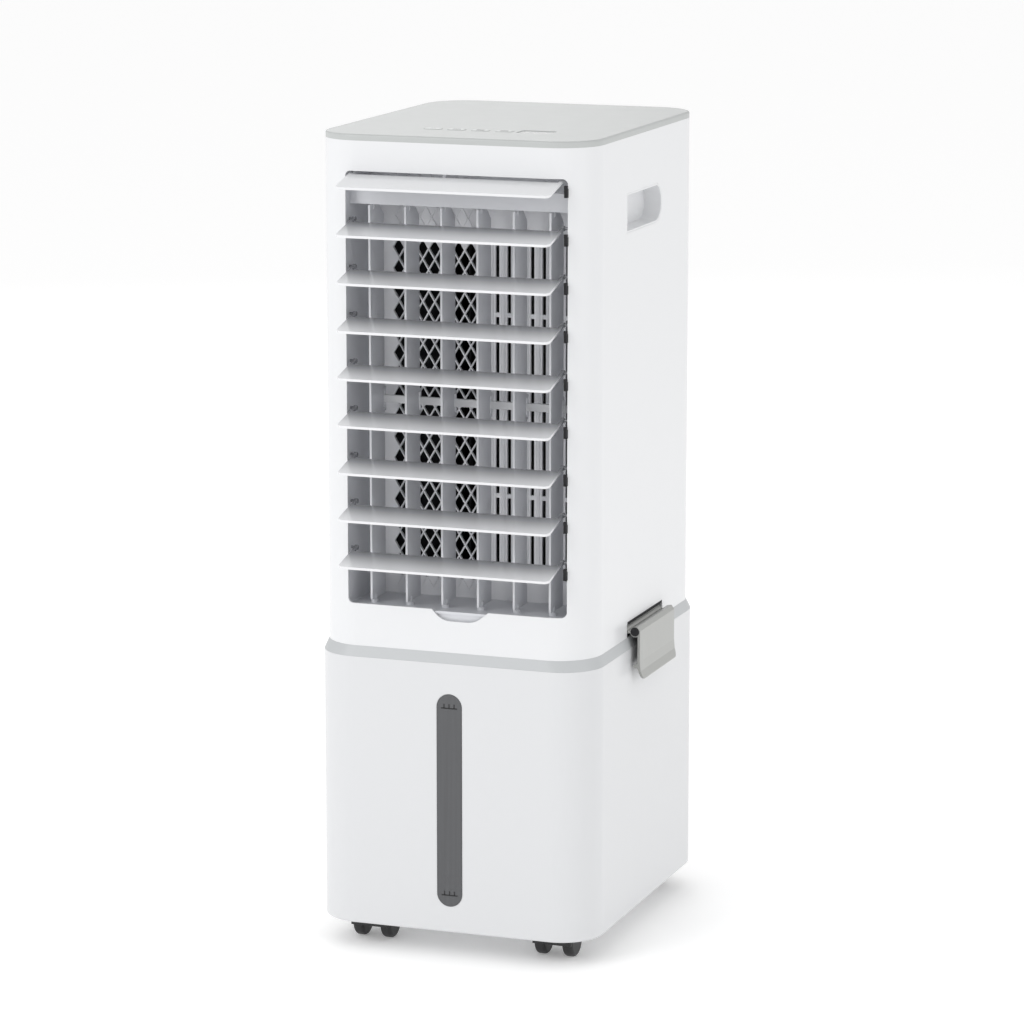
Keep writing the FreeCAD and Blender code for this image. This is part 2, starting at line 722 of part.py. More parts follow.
def make_outlet_frame():
    body = new_body("outlet_frame")
    inner_face = d.shell_wall - head_y
    add(body, "Y", rectangle(duct_left - DUCT_WALL, duct_right + DUCT_WALL,
                             duct_low - DUCT_WALL, duct_high + DUCT_WALL, 9.0),
        inner_face, d.duct_back)
    cut(body, "Y", rectangle(duct_left, duct_right, duct_low, duct_high, 1.5),
        inner_face, d.duct_back)
    pivots = [(vane_x(number), d.vane_hinge) for number in range(1, VANES + 1)]
    add(body, "Z", circles(pivots, 3.6), duct_low - 1, duct_low + 3)
    vane_bore = d.vane_pin + d.running_fit
    cut(body, "Z", circles(pivots, vane_bore), duct_low - DUCT_WALL, duct_low + 3)
    left, right = duct_left - 1, duct_right + 1
    add(body, "Y", rectangle(left, right, d.header_low, d.header_top), d.header_front,
        d.header_front + HEADER_WALL)
    add(body, "Z", rectangle(left, right, d.header_front, d.header_front + 10),
        d.header_low, d.header_low + HEADER_WALL)
    cut(body, "Z", circles(pivots, vane_bore), d.header_low, d.header_low + HEADER_WALL)
    cut(body, "Z", circles(pivots[DRIVEN_VANE - 1:DRIVEN_VANE], vane_bore), duct_high,
        duct_high + DUCT_WALL)
    pins = [(d.louver_hinge, louver_height(number)) for number in range(1, LOUVERS + 1)]
    bore = d.louver_pin + d.running_fit
    cut(body, "X", circles(pins, bore), duct_left - DUCT_WALL, duct_left)
    cut(body, "X", circles(pins, bore), duct_right, duct_right + DUCT_WALL)
    room = d.shell_wall + 0.15
    outside = several(rectangle(-head_x, head_x, -head_y, 0),
                      casing_half_outline(head_x - room, head_y - room, d.head_corner - room))
    cut(body, "Z", outside, duct_low - DUCT_WALL, duct_high + DUCT_WALL)
    low = (duct_low - DUCT_WALL).value
    add(body, "Y", rectangle(-20.0, 35.0, low - 10.5, low + 0.5), inner_face + 1.5,
        inner_face + 3.5)
    return body


def diamonds():
    """The left part of the guard: a lattice of upright diamonds."""
    pitch_x, pitch_z = 12.0, 20.0
    half_x, half_z = 5.25, 8.75
    first_x, first_z = -76.0, 338.0
    shapes = []
    for column in range(15):
        for row in range(16 - column % 2):
            x = first_x + column * pitch_x / 2
            z = first_z + row * pitch_z + (column % 2) * pitch_z / 2
            shapes.append(outline(((x - half_x, z), (x, z - half_z), (x + half_x, z),
                                   (x, z + half_z))))
    return shapes


def guard_slots():
    """The right part of the guard: upright slots between cross ribs."""
    first, pitch, width = 22.5, 11.5, 3.6
    spans = ((330.0, 406.0), (410.0, 577.0), (581.0, 648.0))
    boxes = []
    for column in range(7):
        x = first + column * pitch
        for low, high in spans:
            boxes.append((x - width / 2, x + width / 2, low, high))
    return plain_rectangles(boxes)


def make_outlet_guard():
    body = new_body("outlet_guard")
    edge = rectangle(duct_left - DUCT_WALL, duct_right + DUCT_WALL, duct_low - DUCT_WALL,
                     duct_high + DUCT_WALL, 9.0)
    add(body, "Y", several(edge, guard_slots(), *diamonds()), d.duct_back, d.duct_back + 3)
    return body


def make_louver(number):
    """A blade on two end arms with a pin each, and a crank beyond the left one."""
    body = doc.addObject("PartDesign::Body", f"louver_{number}")
    body.Label = f"louver_{number}"
    subparts.append(body)
    half = d.louver_thick / 2
    arm = 3.2
    reach, root, left, right = values(d.louver_reach, d.louver_root, d.louver_left,
                                      d.louver_right)
    blade = ((left, -root), (right, -root), (right, -reach), (left, -reach))
    add(body, "Z", outline(blade, 5.0), -half, half)
    for near, far in ((left, left + arm), (right - arm, right)):
        add(body, "Z", plain_rectangles(((near, far, -root - 9, 0.0),)), -half, half)
        add(body, "X", circle(0, 0, 2.4), near, far)
    add(body, "X", circle(0, 0, d.louver_pin), crank_x - 1, d.louver_left + 1)
    add(body, "X", circle(0, 0, d.louver_pin), d.louver_right - 1,
        duct_right + DUCT_WALL - 0.2)
    crank = rectangle(-2.4, d.crank_arm + 2.4, -2.4, 2.4, 2.35)
    add(body, "X", crank, crank_x - CRANK_THICK, crank_x)
    add(body, "X", circle(d.crank_arm, 0, d.crank_pin), link_x - LINK_THICK - 0.3,
        crank_x - 1)
    tilt = FreeCAD.Rotation(Vector(1, 0, 0), d.louver_tilt.value)
    body.Placement = FreeCAD.Placement(Vector(0, 0, 0), tilt)
    bind(body, "Placement.Base.y", d.louver_hinge + datum_y)
    bind(body, "Placement.Base.z", louver_height(number) + d.floor_drop)
    return body


def make_louver_link():
    body = new_body("louver_link")
    tilt = math.radians(d.louver_tilt.value)
    pin_y = d.louver_hinge + d.crank_arm * math.cos(tilt)
    lift = d.crank_arm.value * math.sin(tilt)
    low = louver_height(LOUVERS) + lift
    high = louver_height(1) + lift
    add(body, "X", rectangle(pin_y - 3.2, pin_y + 3.2, low - 4, high + 4, 2.5),
        link_x - LINK_THICK, link_x)
    pins = [(pin_y, louver_height(number) + lift) for number in range(1, LOUVERS + 1)]
    cut(body, "X", circles(pins, d.crank_pin + d.running_fit), link_x - LINK_THICK, link_x)
    return body


def make_vane(number):
    body = new_body(f"vane_{number}")
    x = vane_x(number)
    half = d.vane_thick / 2
    front, back, low, high, pin_y = values(d.vane_front, d.vane_back, d.vane_low, d.vane_high,
                                           d.vane_link_pin)
    notch_low, notch_high = values(d.vane_link_low - 5, d.vane_link_high + 5)
    tab = 3.0
    profile = ((front, low), (back, low), (back, notch_low - tab), (pin_y + 1.6, notch_low - tab),
               (pin_y + 1.6, notch_low), (pin_y - 4.8, notch_low), (pin_y - 4.8, notch_high),
               (pin_y + 1.6, notch_high), (pin_y + 1.6, notch_high + tab),
               (back, notch_high + tab), (back, high - 12), (back - 12, high), (front, high))
    add(body, "X", outline(profile), x - half, x + half)
    add(body, "Z", circle(x, d.vane_link_pin, 1.4), notch_low - 1, notch_high + 1)
    driven = duct_high + DUCT_WALL + 6.5
    pin_top = driven if number == DRIVEN_VANE else d.header_low + HEADER_WALL
    add(body, "Z", circle(x, d.vane_hinge, d.vane_pin), duct_low - DUCT_WALL + 0.2,
        d.vane_low + 4)
    add(body, "Z", circle(x, d.vane_hinge, d.vane_pin), d.vane_high - 4, pin_top)
    return body


def make_vane_link():
    body = new_body("vane_link")
    reach = 4.6
    add(body, "Z", rectangle(vane_x(1) - reach, vane_x(VANES) + reach, d.vane_link_pin - 2.2,
                             d.vane_link_pin + 2.2, 2.0), d.vane_link_low, d.vane_link_high)
    pins = [(vane_x(number), d.vane_link_pin) for number in range(1, VANES + 1)]
    cut(body, "Z", circles(pins, 1.4 + d.running_fit), d.vane_link_low, d.vane_link_high)
    return body


def make_swing_motor():
    body = new_body("swing_motor")
    x = vane_x(DRIVEN_VANE)
    low = duct_high + DUCT_WALL
    add(body, "Z", circle(x, d.vane_hinge, 13.0), low, low + 16)
    ears = rectangle(x - 20, x + 20, d.vane_hinge - 3.5, d.vane_hinge + 3.5, 3.0)
    add(body, "Z", ears, low, low + 2)
    cut(body, "Z", circle(x, d.vane_hinge, d.vane_pin + d.running_fit), low, low + 8)
    return body


# ---------------------------------------------------------------- blower

def make_blower_casing():
    """Rear guide wall, tongue and two end plates round the wheel, on four legs."""
    body = new_body("blower_casing")
    plate = 3.0
    cx, cy, inner = values(d.blower_x, d.blower_y, d.scroll_inner)
    left, right, front = values(duct_left, duct_right, d.duct_back + 3)
    wall = 2.5
    footprint = rectangle(left, right, front, 62.0, 6.0)
    bore = d.shaft_radius + 2
    add(body, "Z", footprint, d.casing_low, d.casing_low + plate)
    cut(body, "Z", circle(cx, cy, bore), d.casing_low, d.casing_low + plate)

    def on_arc(radius, angle):
        turn = math.radians(angle)
        return Vector(cx + radius * math.cos(turn), cy + radius * math.sin(turn), 0)

    def guide(sketch):
        outer = inner + wall
        near, far = 205.0, 75.0
        middle = (near + far) / 2
        ends = (Vector(left + wall, front, 0), on_arc(inner, near), on_arc(inner, far),
                on_arc(outer, far), on_arc(outer, near), Vector(left, front, 0))
        sketch.addGeometry(Part.LineSegment(ends[0], ends[1]), False)
        sketch.addGeometry(Part.Arc(ends[1], on_arc(inner, middle), ends[2]), False)
        sketch.addGeometry(Part.LineSegment(ends[2], ends[3]), False)
        sketch.addGeometry(Part.Arc(ends[3], on_arc(outer, middle), ends[4]), False)
        sketch.addGeometry(Part.LineSegment(ends[4], ends[5]), False)
        sketch.addGeometry(Part.LineSegment(ends[5], ends[0]), False)

    tongue = outline(((right, front), (right - wall, front), (cx + 67, cy - 30),
                      (cx + 64, cy - 20), (cx + 67, cy - 17), (cx + 70, cy - 28)))
    add(body, "Z", several(guide, tongue), d.casing_low + plate - 0.5, d.casing_high - plate + 0.5)
    add(body, "Z", footprint, d.casing_high - plate, d.casing_high)
    cut(body, "Z", circle(cx, cy, 9.0), d.casing_high - plate, d.casing_high)
    legs = [(left + 12, front + 14), (right - 12, front + 14), (left + 12, 50.0),
            (right - 12, 50.0)]
    add(body, "Z", circles(legs, 5.0), 274.0, d.casing_low + 1)
    return body


def make_blower_wheel():
    """Drum of slanted blades between discs, with a stub shaft at each end."""
    body = new_body("blower_wheel")
    cx, cy, outer, inner = values(d.blower_x, d.blower_y, d.wheel_outer, d.wheel_inner)
    disc = 2.5
    blades, slant, half = 32, math.radians(14), 0.7
    middle = (d.wheel_low + d.wheel_high) / 2
    add(body, "Z", circle(cx, cy, d.wheel_outer), d.wheel_low, d.wheel_low + disc)

    def ring_of_blades(sketch):
        for index in range(blades):
            turn = 2 * math.pi * index / blades
            points = []
            for radius, lean, across in ((inner + 0.5, 0.0, -half), (outer - 0.5, slant, -half),
                                         (outer - 0.5, slant, half), (inner + 0.5, 0.0, half)):
                angle = turn + lean + across / radius
                points.append((cx + radius * math.cos(angle), cy + radius * math.sin(angle)))
            outline(points)(sketch)

    add(body, "Z", ring_of_blades, d.wheel_low + disc - 0.5, d.wheel_high - disc + 0.5)
    add(body, "Z", circle(cx, cy, d.wheel_outer), d.wheel_high - disc, d.wheel_high)
    web = several(circle(cx, cy, d.wheel_outer), inner_circle(cx, cy, inner - 4))
    add(body, "Z", web, middle - 1, middle + 1)
    add(body, "Z", circle(cx, cy, d.shaft_radius), 296.0, d.wheel_low + disc)
    add(body, "Z", circle(cx, cy, d.shaft_radius), d.wheel_high - disc, d.casing_high + 3)
    return body


def inner_circle(x, y, radius):
    def draw(sketch):
        sketch.addGeometry(Part.Circle(Vector(x, y, 0), Vector(0, 0, 1), radius), False)

    return draw


def make_blower_motor():
    body = new_body("blower_motor")
    add(body, "Z", circle(d.blower_x, d.blower_y, 40.0), 277.0, 308.0)
    add(body, "Z", circle(d.blower_x, d.blower_y, 12.0), 308.0, 314.0)
    feet = rectangle(d.blower_x - 52, d.blower_x + 52, d.blower_y - 9, d.blower_y + 9, 6.0)
    add(body, "Z", feet, 274.0, 277.0)
    cut(body, "Z", circle(d.blower_x, d.blower_y, d.shaft_radius + d.running_fit),
        294.0, 314.0)
    return body


def make_top_bearing():
    body = new_body("top_bearing")
    add(body, "Z", circle(d.blower_x, d.blower_y, 9.0), d.casing_high - 3, d.casing_high)
    add(body, "Z", circle(d.blower_x, d.blower_y, 13.0), d.casing_high, d.casing_high + 4)
    cut(body, "Z", circle(d.blower_x, d.blower_y, d.shaft_radius + d.running_fit),
        d.casing_high - 3, d.casing_high + 4)
    return body


# ---------------------------------------------------------------- wet side

def make_pad_frame():
    body = new_body("pad_frame")
    wall = 3.0
    add(body, "Y", rectangle(-d.pad_half - wall, d.pad_half + wall, d.pad_low - wall,
                             d.pad_high + wall), d.pad_front, d.pad_back)
    cut(body, "Y", rectangle(-d.pad_half, d.pad_half, d.pad_low, d.pad_high),
        d.pad_front, d.pad_back)
    legs = [(x, x + 10, d.pad_front.value + 2, d.pad_front.value + 12) for x in (-38.5, 28.5)]
    add(body, "Z", plain_rectangles(legs), 274.0, d.pad_low - 1)
    drips = [(x, (d.pad_front + d.pad_back).value / 2) for x in range(-84, 85, 12)]
    cut(body, "Z", circles(drips, 1.6), d.pad_high, d.pad_high + wall)
    return body


def make_cooling_pad():
    body = new_body("cooling_pad")
    add(body, "Y", rectangle(0.3 - d.pad_half, d.pad_half - 0.3, d.pad_low, d.pad_high),
        d.pad_front + 1, d.pad_back - 1)
    return body


def make_water_distributor():
    body = new_body("water_distributor")
    low = d.pad_high + 3
    front, rear = d.pad_front + 2, d.pad_back - 2
    add(body, "Z", rectangle(-d.pad_half, d.pad_half, front, rear, 3.0), low, low + 16)
    cut(body, "Z", rectangle(2 - d.pad_half, d.pad_half - 2, front + 2, rear - 2, 2.0),
        low + 2, low + 16)
    cut(body, "Y", circle(d.pump_x, low + 9, d.hose_radius), front, front + 2)
    drips = [(x, (d.pad_front + d.pad_back).value / 2) for x in range(-84, 85, 12)]
    cut(body, "Z", circles(drips, 1.6), low, low + 2)
    return body


def make_water_hose():
    """From the pump's outlet straight up, then back into the distributor."""
    x, y, radius, bend = values(d.pump_x, d.pump_y + 14, d.hose_radius, d.hose_bend)
    foot = 98.0
    top = (d.pad_high + 3 + 9).value
    end = (d.pad_front + 4).value
    turn = bend * (1 - math.sqrt(0.5))
    path = Part.Wire([
        Part.LineSegment(Vector(x, y, foot), Vector(x, y, top - bend)).toShape(),
        Part.Arc(Vector(x, y, top - bend), Vector(x, y + turn, top - turn),
                 Vector(x, y + bend, top)).toShape(),
        Part.LineSegment(Vector(x, y + bend, top), Vector(x, end, top)).toShape()])
    ring = Part.Wire([Part.Circle(Vector(x, y, foot), Vector(0, 0, 1), radius).toShape()])
    tube = path.makePipeShell([ring], True, True)
    expected = math.pi * radius ** 2 * path.Length
    if abs(tube.Volume / expected - 1) > 0.01:
        raise RuntimeError("the hose has the wrong volume")
    shape_part("water_hose", tube)


def make_pump():
    body = new_body("pump_body")
    x, y = d.pump_x, d.pump_y
    add(body, "Z", circle(x, y, d.pump_radius), 48.0, 90.0)
    add(body, "Z", circle(x, y, 8.0), 89.0, 271.0)
    add(body, "Z", circle(x, y + 14, 6.0), 89.0, 98.0)
    cut(body, "Z", circle(x, y, 15.0), 48.0, 59.0)
    cut(body, "Z", circle(x, y, 1.5 + 0.06), 59.0, 68.0)
    impeller = new_body("pump_impeller")
    add(impeller, "Z", circle(x, y, 12.0), 50.0, 52.0)
    px, py = values(x, y)
    vanes = [outline([(px + r * math.cos(a + w / r), py + r * math.sin(a + w / r))
                      for r, w in ((3.0, -0.7), (11.5, -0.7), (11.5, 0.7), (3.0, 0.7))])
             for a in (math.pi * step / 3 for step in range(6))]
    add(impeller, "Z", several(*vanes), 51.5, 57.0)
    add(impeller, "Z", circle(x, y, 4.0), 51.5, 58.0)
    add(impeller, "Z", circle(x, y, 1.5), 57.5, 67.0)
    strainer = new_body("pump_strainer")
    add(strainer, "Z", circle(x, y, d.pump_radius), 38.0, 48.0)
    cut(strainer, "Z", circle(x, y, d.pump_radius - 2), 40.0, 48.0)
    inlets = [(px + 6.0 * column, py + 6.0 * row) for column in range(-2, 3)
              for row in range(-2, 3) if abs(column) + abs(row) < 4]
    cut(strainer, "Z", circles(inlets, 1.6), 38.0, 40.0)


def make_rear_grille():
    body = new_body("rear_grille")
    half, low, high = values(d.grille_half, d.grille_low, d.grille_high)
    outer = head_y.value
    slots = []
    pitch, gap, border, post = 9.0, 5.0, 9.0, 3.0
    rows = int((high - low - 2 * border) / pitch)
    first = (low + high - (rows - 1) * pitch - gap) / 2
    for row in range(rows):
        z = first + row * pitch
        for left, right in ((-half + border, -post), (post, half - border)):
            slots.append((left, right, z, z + gap))
    face = several(rectangle(-d.grille_half, d.grille_half, d.grille_low, d.grille_high, 5.0),
                   plain_rectangles(slots))
    add(body, "Y", face, outer - 3, outer)
    frame = several(rectangle(-d.grille_half, d.grille_half, d.grille_low, d.grille_high, 5.0),
                    plain_rectangles(((3 - half, half - 3, low + 3, high - 3),)))
    add(body, "Y", frame, outer - 9, outer - 3)
    for side in (-1, 1):
        near, far = sorted((side * (half - 1), side * (half + 4.2)))
        add(body, "X", circle(d.grille_hinge_y, d.grille_hinge_z, 1.8), near, far)
    return body


def make_dust_filter():
    body = new_body("dust_filter")
    half, low, high = values(d.grille_half - 3.4, d.grille_low + 3.4, d.grille_high - 3.4)
    outer = head_y.value
    columns, rows, border, rib = 4, 8, 4.0, 2.0
    cell_x = (2 * half - 2 * border - (columns - 1) * rib) / columns
    cell_z = (high - low - 2 * border - (rows - 1) * rib) / rows
    windows = []
    for column in range(columns):
        left = -half + border + column * (cell_x + rib)
        for row in range(rows):
            foot = low + border + row * (cell_z + rib)
            windows.append((left, left + cell_x, foot, foot + cell_z))
    sheet_face = plain_rectangles([(-half, half, low, high)] + windows)
    add(body, "Y", sheet_face, outer - 6.5, outer - 3.2)
    add(body, "Y", plain_rectangles([(-half, half, low, high)]), outer - 7.1, outer - 6.4)
    return body


# ---------------------------------------------------------------- controls and latches

def make_control_board():
    body = new_body("control_board")
    low, high = 733.0, 734.6
    add(body, "Z", rectangle(-58.0, 92.0, -128.0, -72.0, 3.0), low, high)
    switches = []
    for number in range(KEYS):
        x, y = values(d.key_first + d.key_pitch * number, d.key_y)
        switches.append((x - 3, x + 3, y - 3, y + 3))
    add(body, "Z", plain_rectangles(switches), high - 0.2, 742.0)
    add(body, "Z", plain_rectangles(((50.0, 80.0, -106.0, -86.0),)), high - 0.2, 744.0)
    add(body, "Z", circles(((-45.0, -120.0), (-30.0, -120.0), (0.0, -121.0)), 4.0), 727.0,
        low + 0.2)
    return body


def make_display_lens():
    body = new_body("display_lens")
    left, right, low, high = DISPLAY
    top = d.lid_top - 0.6
    add(body, "Z", rectangle(left, right, low, high, 3.0), d.lid_top - d.lid_skin, top)
    add(body, "Z", rectangle(left - 2, right + 2, low - 2, high + 2, 3.0),
        d.lid_top - d.lid_skin - 1.5, d.lid_top - d.lid_skin)
    return body


def make_key(number):
    body = new_body(f"key_{number}")
    x = d.key_first + d.key_pitch * (number - 1)
    half_x, half_y = d.key_width / 2, d.key_depth / 2
    add(body, "Z", rectangle(x - half_x, x + half_x, d.key_y - half_y, d.key_y + half_y,
                             d.key_corner - 0.2), 743.2, d.lid_top + 0.5)
    add(body, "Z", rectangle(x - half_x - 1.5, x + half_x + 1.5, d.key_y - half_y - 1.5,
                             d.key_y + half_y + 1.5, d.key_corner), 744.6, 746.9)
    top = (d.lid_top + 0.5).value
    round_edges(body, lambda edge: level(edge, top), 0.4)
    return body


LATCH_PIN = 1.5
LATCH_ROLL = (142.5, 275.4, 4.8)
LATCH_CORNER = 9.0
LATCH_PROFILE = (
    # across from the casing's centre line, up: round the lever from its hinge
    (129.5, 279.4), (132.6, 279.0), (135.3, 276.6), (139.5, 277.6), (141.2, 280.0),
    (145.0, 280.4), (147.6, 276.5), (147.6, 247.0), (148.4, 238.0), (151.0, 229.8),
    (148.8, 229.0), (146.2, 237.0), (145.2, 240.6), (141.0, 240.6), (141.0, 243.0), (145.2, 245.4),
    (145.2, 275.2), (143.6, 277.2), (141.6, 275.2), (135.2, 273.6), (129.5, 274.6))


def make_latch(label, side):
    body = new_body(label)
    profile = [(side * across, up) for across, up in LATCH_PROFILE]
    add(body, "Y", outline(profile, 1.1), d.latch_front, d.latch_rear)
    add(body, "Y", circle(side * d.latch_hinge_x, d.latch_hinge_z, 3.5), d.latch_front,
        d.latch_rear)
    add(body, "Y", circle(side * d.latch_hinge_x, d.latch_hinge_z, LATCH_PIN),
        d.latch_front - 6.5, d.latch_rear + 6.5)
    roll_x, roll_z, roll = LATCH_ROLL
    add(body, "Y", circle(side * roll_x, roll_z, roll), d.latch_front, d.latch_rear)
    low, radius = min(up for _, up in LATCH_PROFILE), LATCH_CORNER
    near, far = sorted((side * 143.0, side * 153.0))
    for end, inward in ((d.latch_front.value, 1), (d.latch_rear.value, -1)):
        corner = [(end + inward * radius * (1 - math.cos(turn)), low + radius * (1 - math.sin(turn)))
                  for turn in (math.radians(step) for step in range(0, 91, 15))]
        corner += [(end + inward * radius, low - 2), (end - inward, low - 2), (end - inward, low + radius)]
        cut(body, "X", outline(corner), near, far)
    return body


# ---------------------------------------------------------------- build, check and write

def build():
    make_tank()
    make_rim_band()
    make_level_window()
    make_drain_plug()
    for number, side, swivel_y in CASTERS:
        make_caster(number, side, swivel_y)
    make_front_shell()
    make_rear_shell()
    make_head_base()
    make_top_cover()
    make_handle_cups()
    make_casing_screws()
    make_power_gland()
    make_outlet_frame()
    make_outlet_guard()
    for number in range(1, LOUVERS + 1):
        make_louver(number)
    make_louver_link()
    for number in range(1, VANES + 1):
        make_vane(number)
    make_vane_link()
    make_swing_motor()
    make_blower_casing()
    make_blower_wheel()
    make_blower_motor()
    make_top_bearing()
    make_pad_frame()
    make_cooling_pad()
    make_water_distributor()
    make_water_hose()
    make_pump()
    make_rear_grille()
    make_dust_filter()
    make_control_board()
    make_display_lens()
    for number in range(1, KEYS + 1):
        make_key(number)
    make_latch("latch_left", -1)
    make_latch("latch_right", 1)


def check():
    doc.recompute()
    for item in doc.Objects:
        if "Invalid" in item.State or "Error" in item.State:
            raise RuntimeError(f"{item.Name} failed: {item.State}")
    for part in subparts:
        shape = part.Shape
        if shape.isNull() or not shape.isValid() or not shape.Solids:
            raise RuntimeError(part.Label + " has no valid solid")


def write():
    os.makedirs("parts", exist_ok=True)
    for part in subparts:
        part.Shape.exportStep(f"parts/{part.Label}.step")


build()
check()
write()
print(len(subparts), "sub-parts written")
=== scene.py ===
"""Upright evaporative air cooler: finishes, moulded detail, floor, light and camera."""
import json
import math

import bmesh
import bpy
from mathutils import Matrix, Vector


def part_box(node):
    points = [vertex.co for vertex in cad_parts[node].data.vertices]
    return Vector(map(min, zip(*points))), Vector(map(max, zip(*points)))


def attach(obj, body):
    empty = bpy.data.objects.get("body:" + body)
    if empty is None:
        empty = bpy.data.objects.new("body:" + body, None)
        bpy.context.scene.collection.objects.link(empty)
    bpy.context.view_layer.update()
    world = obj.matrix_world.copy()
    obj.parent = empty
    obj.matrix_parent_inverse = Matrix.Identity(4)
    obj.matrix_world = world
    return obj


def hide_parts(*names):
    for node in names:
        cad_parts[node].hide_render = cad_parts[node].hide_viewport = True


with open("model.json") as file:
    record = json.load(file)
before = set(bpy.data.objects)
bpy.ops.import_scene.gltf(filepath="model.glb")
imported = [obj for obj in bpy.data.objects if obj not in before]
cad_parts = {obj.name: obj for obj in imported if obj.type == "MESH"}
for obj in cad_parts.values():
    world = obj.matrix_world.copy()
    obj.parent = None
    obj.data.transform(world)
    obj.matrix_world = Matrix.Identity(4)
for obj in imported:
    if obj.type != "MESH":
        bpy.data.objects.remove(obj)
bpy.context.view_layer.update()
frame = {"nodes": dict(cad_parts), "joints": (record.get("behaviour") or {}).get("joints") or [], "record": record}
nodes = frame["nodes"]

MM = 0.001
LOUVERS = 9
VANES = 6
KEYS = 4
CASTERS = 4


# ---------------------------------------------------------------- writing shaders

class Wire:
    """An output of a shader node. Arithmetic on it adds Math nodes."""

    def __init__(self, shader, socket):
        self.shader = shader
        self.socket = socket

    def maths(self, operation, first, second=0.0):
        return self.shader.node("ShaderNodeMath", {"operation": operation}, {0: first, 1: second})

    def __add__(self, other):
        return self.maths("ADD", self, other)

    def __radd__(self, other):
        return self.maths("ADD", other, self)

    def __sub__(self, other):
        return self.maths("SUBTRACT", self, other)

    def __rsub__(self, other):
        return self.maths("SUBTRACT", other, self)

    def __mul__(self, other):
        return self.maths("MULTIPLY", self, other)

    def __rmul__(self, other):
        return self.maths("MULTIPLY", other, self)

    def __truediv__(self, other):
        return self.maths("DIVIDE", self, other)

    def __gt__(self, other):
        return self.maths("GREATER_THAN", self, other)

    def __lt__(self, other):
        return self.maths("LESS_THAN", self, other)


class Shader:
    """One material's tree, with the object's own coordinates in metres."""

    def __init__(self, name):
        self.material = bpy.data.materials.new(name)
        self.material.use_nodes = True
        self.tree = self.material.node_tree
        self.surface = self.tree.nodes["Principled BSDF"]
        self.place = self.node("ShaderNodeTexCoord", {}, {}, "Object")
        axes = self.node("ShaderNodeSeparateXYZ", {}, {0: self.place}, None)
        self.x, self.y, self.z = (Wire(self, socket) for socket in axes.outputs)

    def node(self, kind, settings, inputs, output=0):
        """Adds a node; output None returns the node itself, otherwise that output as a Wire."""
        made = self.tree.nodes.new(kind)
        for key, value in settings.items():
            if key == "stops":
                for element, (position, level) in zip(made.color_ramp.elements, value):
                    element.position, element.color = position, (level, level, level, 1)
            else:
                setattr(made, key, value)
        for key, value in inputs.items():
            self.feed(made.inputs[key], value)
        return made if output is None else Wire(self, made.outputs[output])

    def feed(self, socket, value):
        if isinstance(value, Wire):
            self.tree.links.new(value.socket, socket)
        else:
            socket.default_value = value

    def noise(self, scale, detail=2.0, stretch=(1.0, 1.0, 1.0)):
        """Noise from 0 to 1, scale features a metre."""
        spot = self.node("ShaderNodeMapping", {}, {"Vector": self.place, "Scale": stretch})
        return self.node("ShaderNodeTexNoise", {}, {"Vector": spot, "Scale": scale, "Detail": detail})

    def mix(self, amount, first, second):
        """From the first colour to the second."""
        return self.node("ShaderNodeMix", {"data_type": "RGBA"},
                         {0: amount, 6: (*first, 1) if isinstance(first, tuple) else first,
                          7: (*second, 1) if isinstance(second, tuple) else second}, 2)

    def bump(self, height, depth, normal=None):
        """Height from 0 to 1 raises the surface by depth metres."""
        inputs = {"Height": height, "Distance": depth, "Strength": 1.0}
        if normal is not None:
            inputs["Normal"] = normal
        return self.node("ShaderNodeBump", {}, inputs)

    def done(self, **inputs):
        for key, value in inputs.items():
            socket = self.surface.inputs[key.replace("_", " ")]
            if isinstance(value, tuple) and len(value) == 3:
                value = (*value, 1)
            self.feed(socket, value)
        return self.material


# ---------------------------------------------------------------- finishes

def moulded(name, colour, rough, grain=0.003 * MM, coat=0.0, flow=0.02):
    """Injection-moulded plastic: flow marks in tone, fine peel in the surface."""
    shader = Shader(name)
    marks = shader.noise(5.0, 3.0, (1.0, 1.0, 0.35))
    dark = tuple(channel * (1 - flow) for channel in colour)
    tone = shader.mix(marks, dark, colour)
    peel = shader.noise(1400.0, 2.0)
    waves = shader.bump(shader.noise(22.0, 1.0), 0.03 * MM)
    return shader.done(Base_Color=tone, Roughness=rough + 0.08 * shader.noise(60.0, 4.0) - 0.04,
                       Normal=shader.bump(peel, grain, waves), Coat_Weight=coat,
                       Coat_Roughness=0.12)


def louver_plastic():
    """Glossy grey with painted shade: lighter at the front lip, darker towards the hinge, with a near-black
    painted shadow strip at the hinge edge.
    """
    shader = Shader("louver_grey")
    low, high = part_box("louver_5")
    # Painted shade: 1 at the blade's front tip, falling to 0 some 38 mm back, so the front lip is lighter than the
    # rest.
    painted_shade_ramp = shader.node("ShaderNodeMapRange", {"interpolation_type": "SMOOTHSTEP"},
                        {0: shader.y, 1: low.y, 2: low.y + 38 * MM, 3: 1.0, 4: 0.0})
    # Painted shadow: the last 7 mm towards the hinge go near-black, as the shadow in the gap above the blade.
    painted_hinge_shadow = shader.node("ShaderNodeMapRange", {"interpolation_type": "SMOOTHSTEP"},
                       {0: shader.y, 1: high.y - 12 * MM, 2: high.y - 7 * MM, 3: 0.0, 4: 1.0})
    marks = shader.noise(9.0, 3.0, (0.4, 2.0, 1.0))
    tone = shader.mix(painted_shade_ramp * (0.9 + 0.1 * marks), (0.22, 0.225, 0.24), (0.79, 0.795, 0.81))
    tone = shader.mix(painted_hinge_shadow, tone, (0.05, 0.052, 0.056))
    return shader.done(Base_Color=tone, Roughness=0.16 + 0.08 * shader.noise(60.0, 4.0),
                       Normal=shader.bump(shader.noise(30.0, 1.0), 0.02 * MM),
                       Coat_Weight=0.6, Coat_Roughness=0.08)


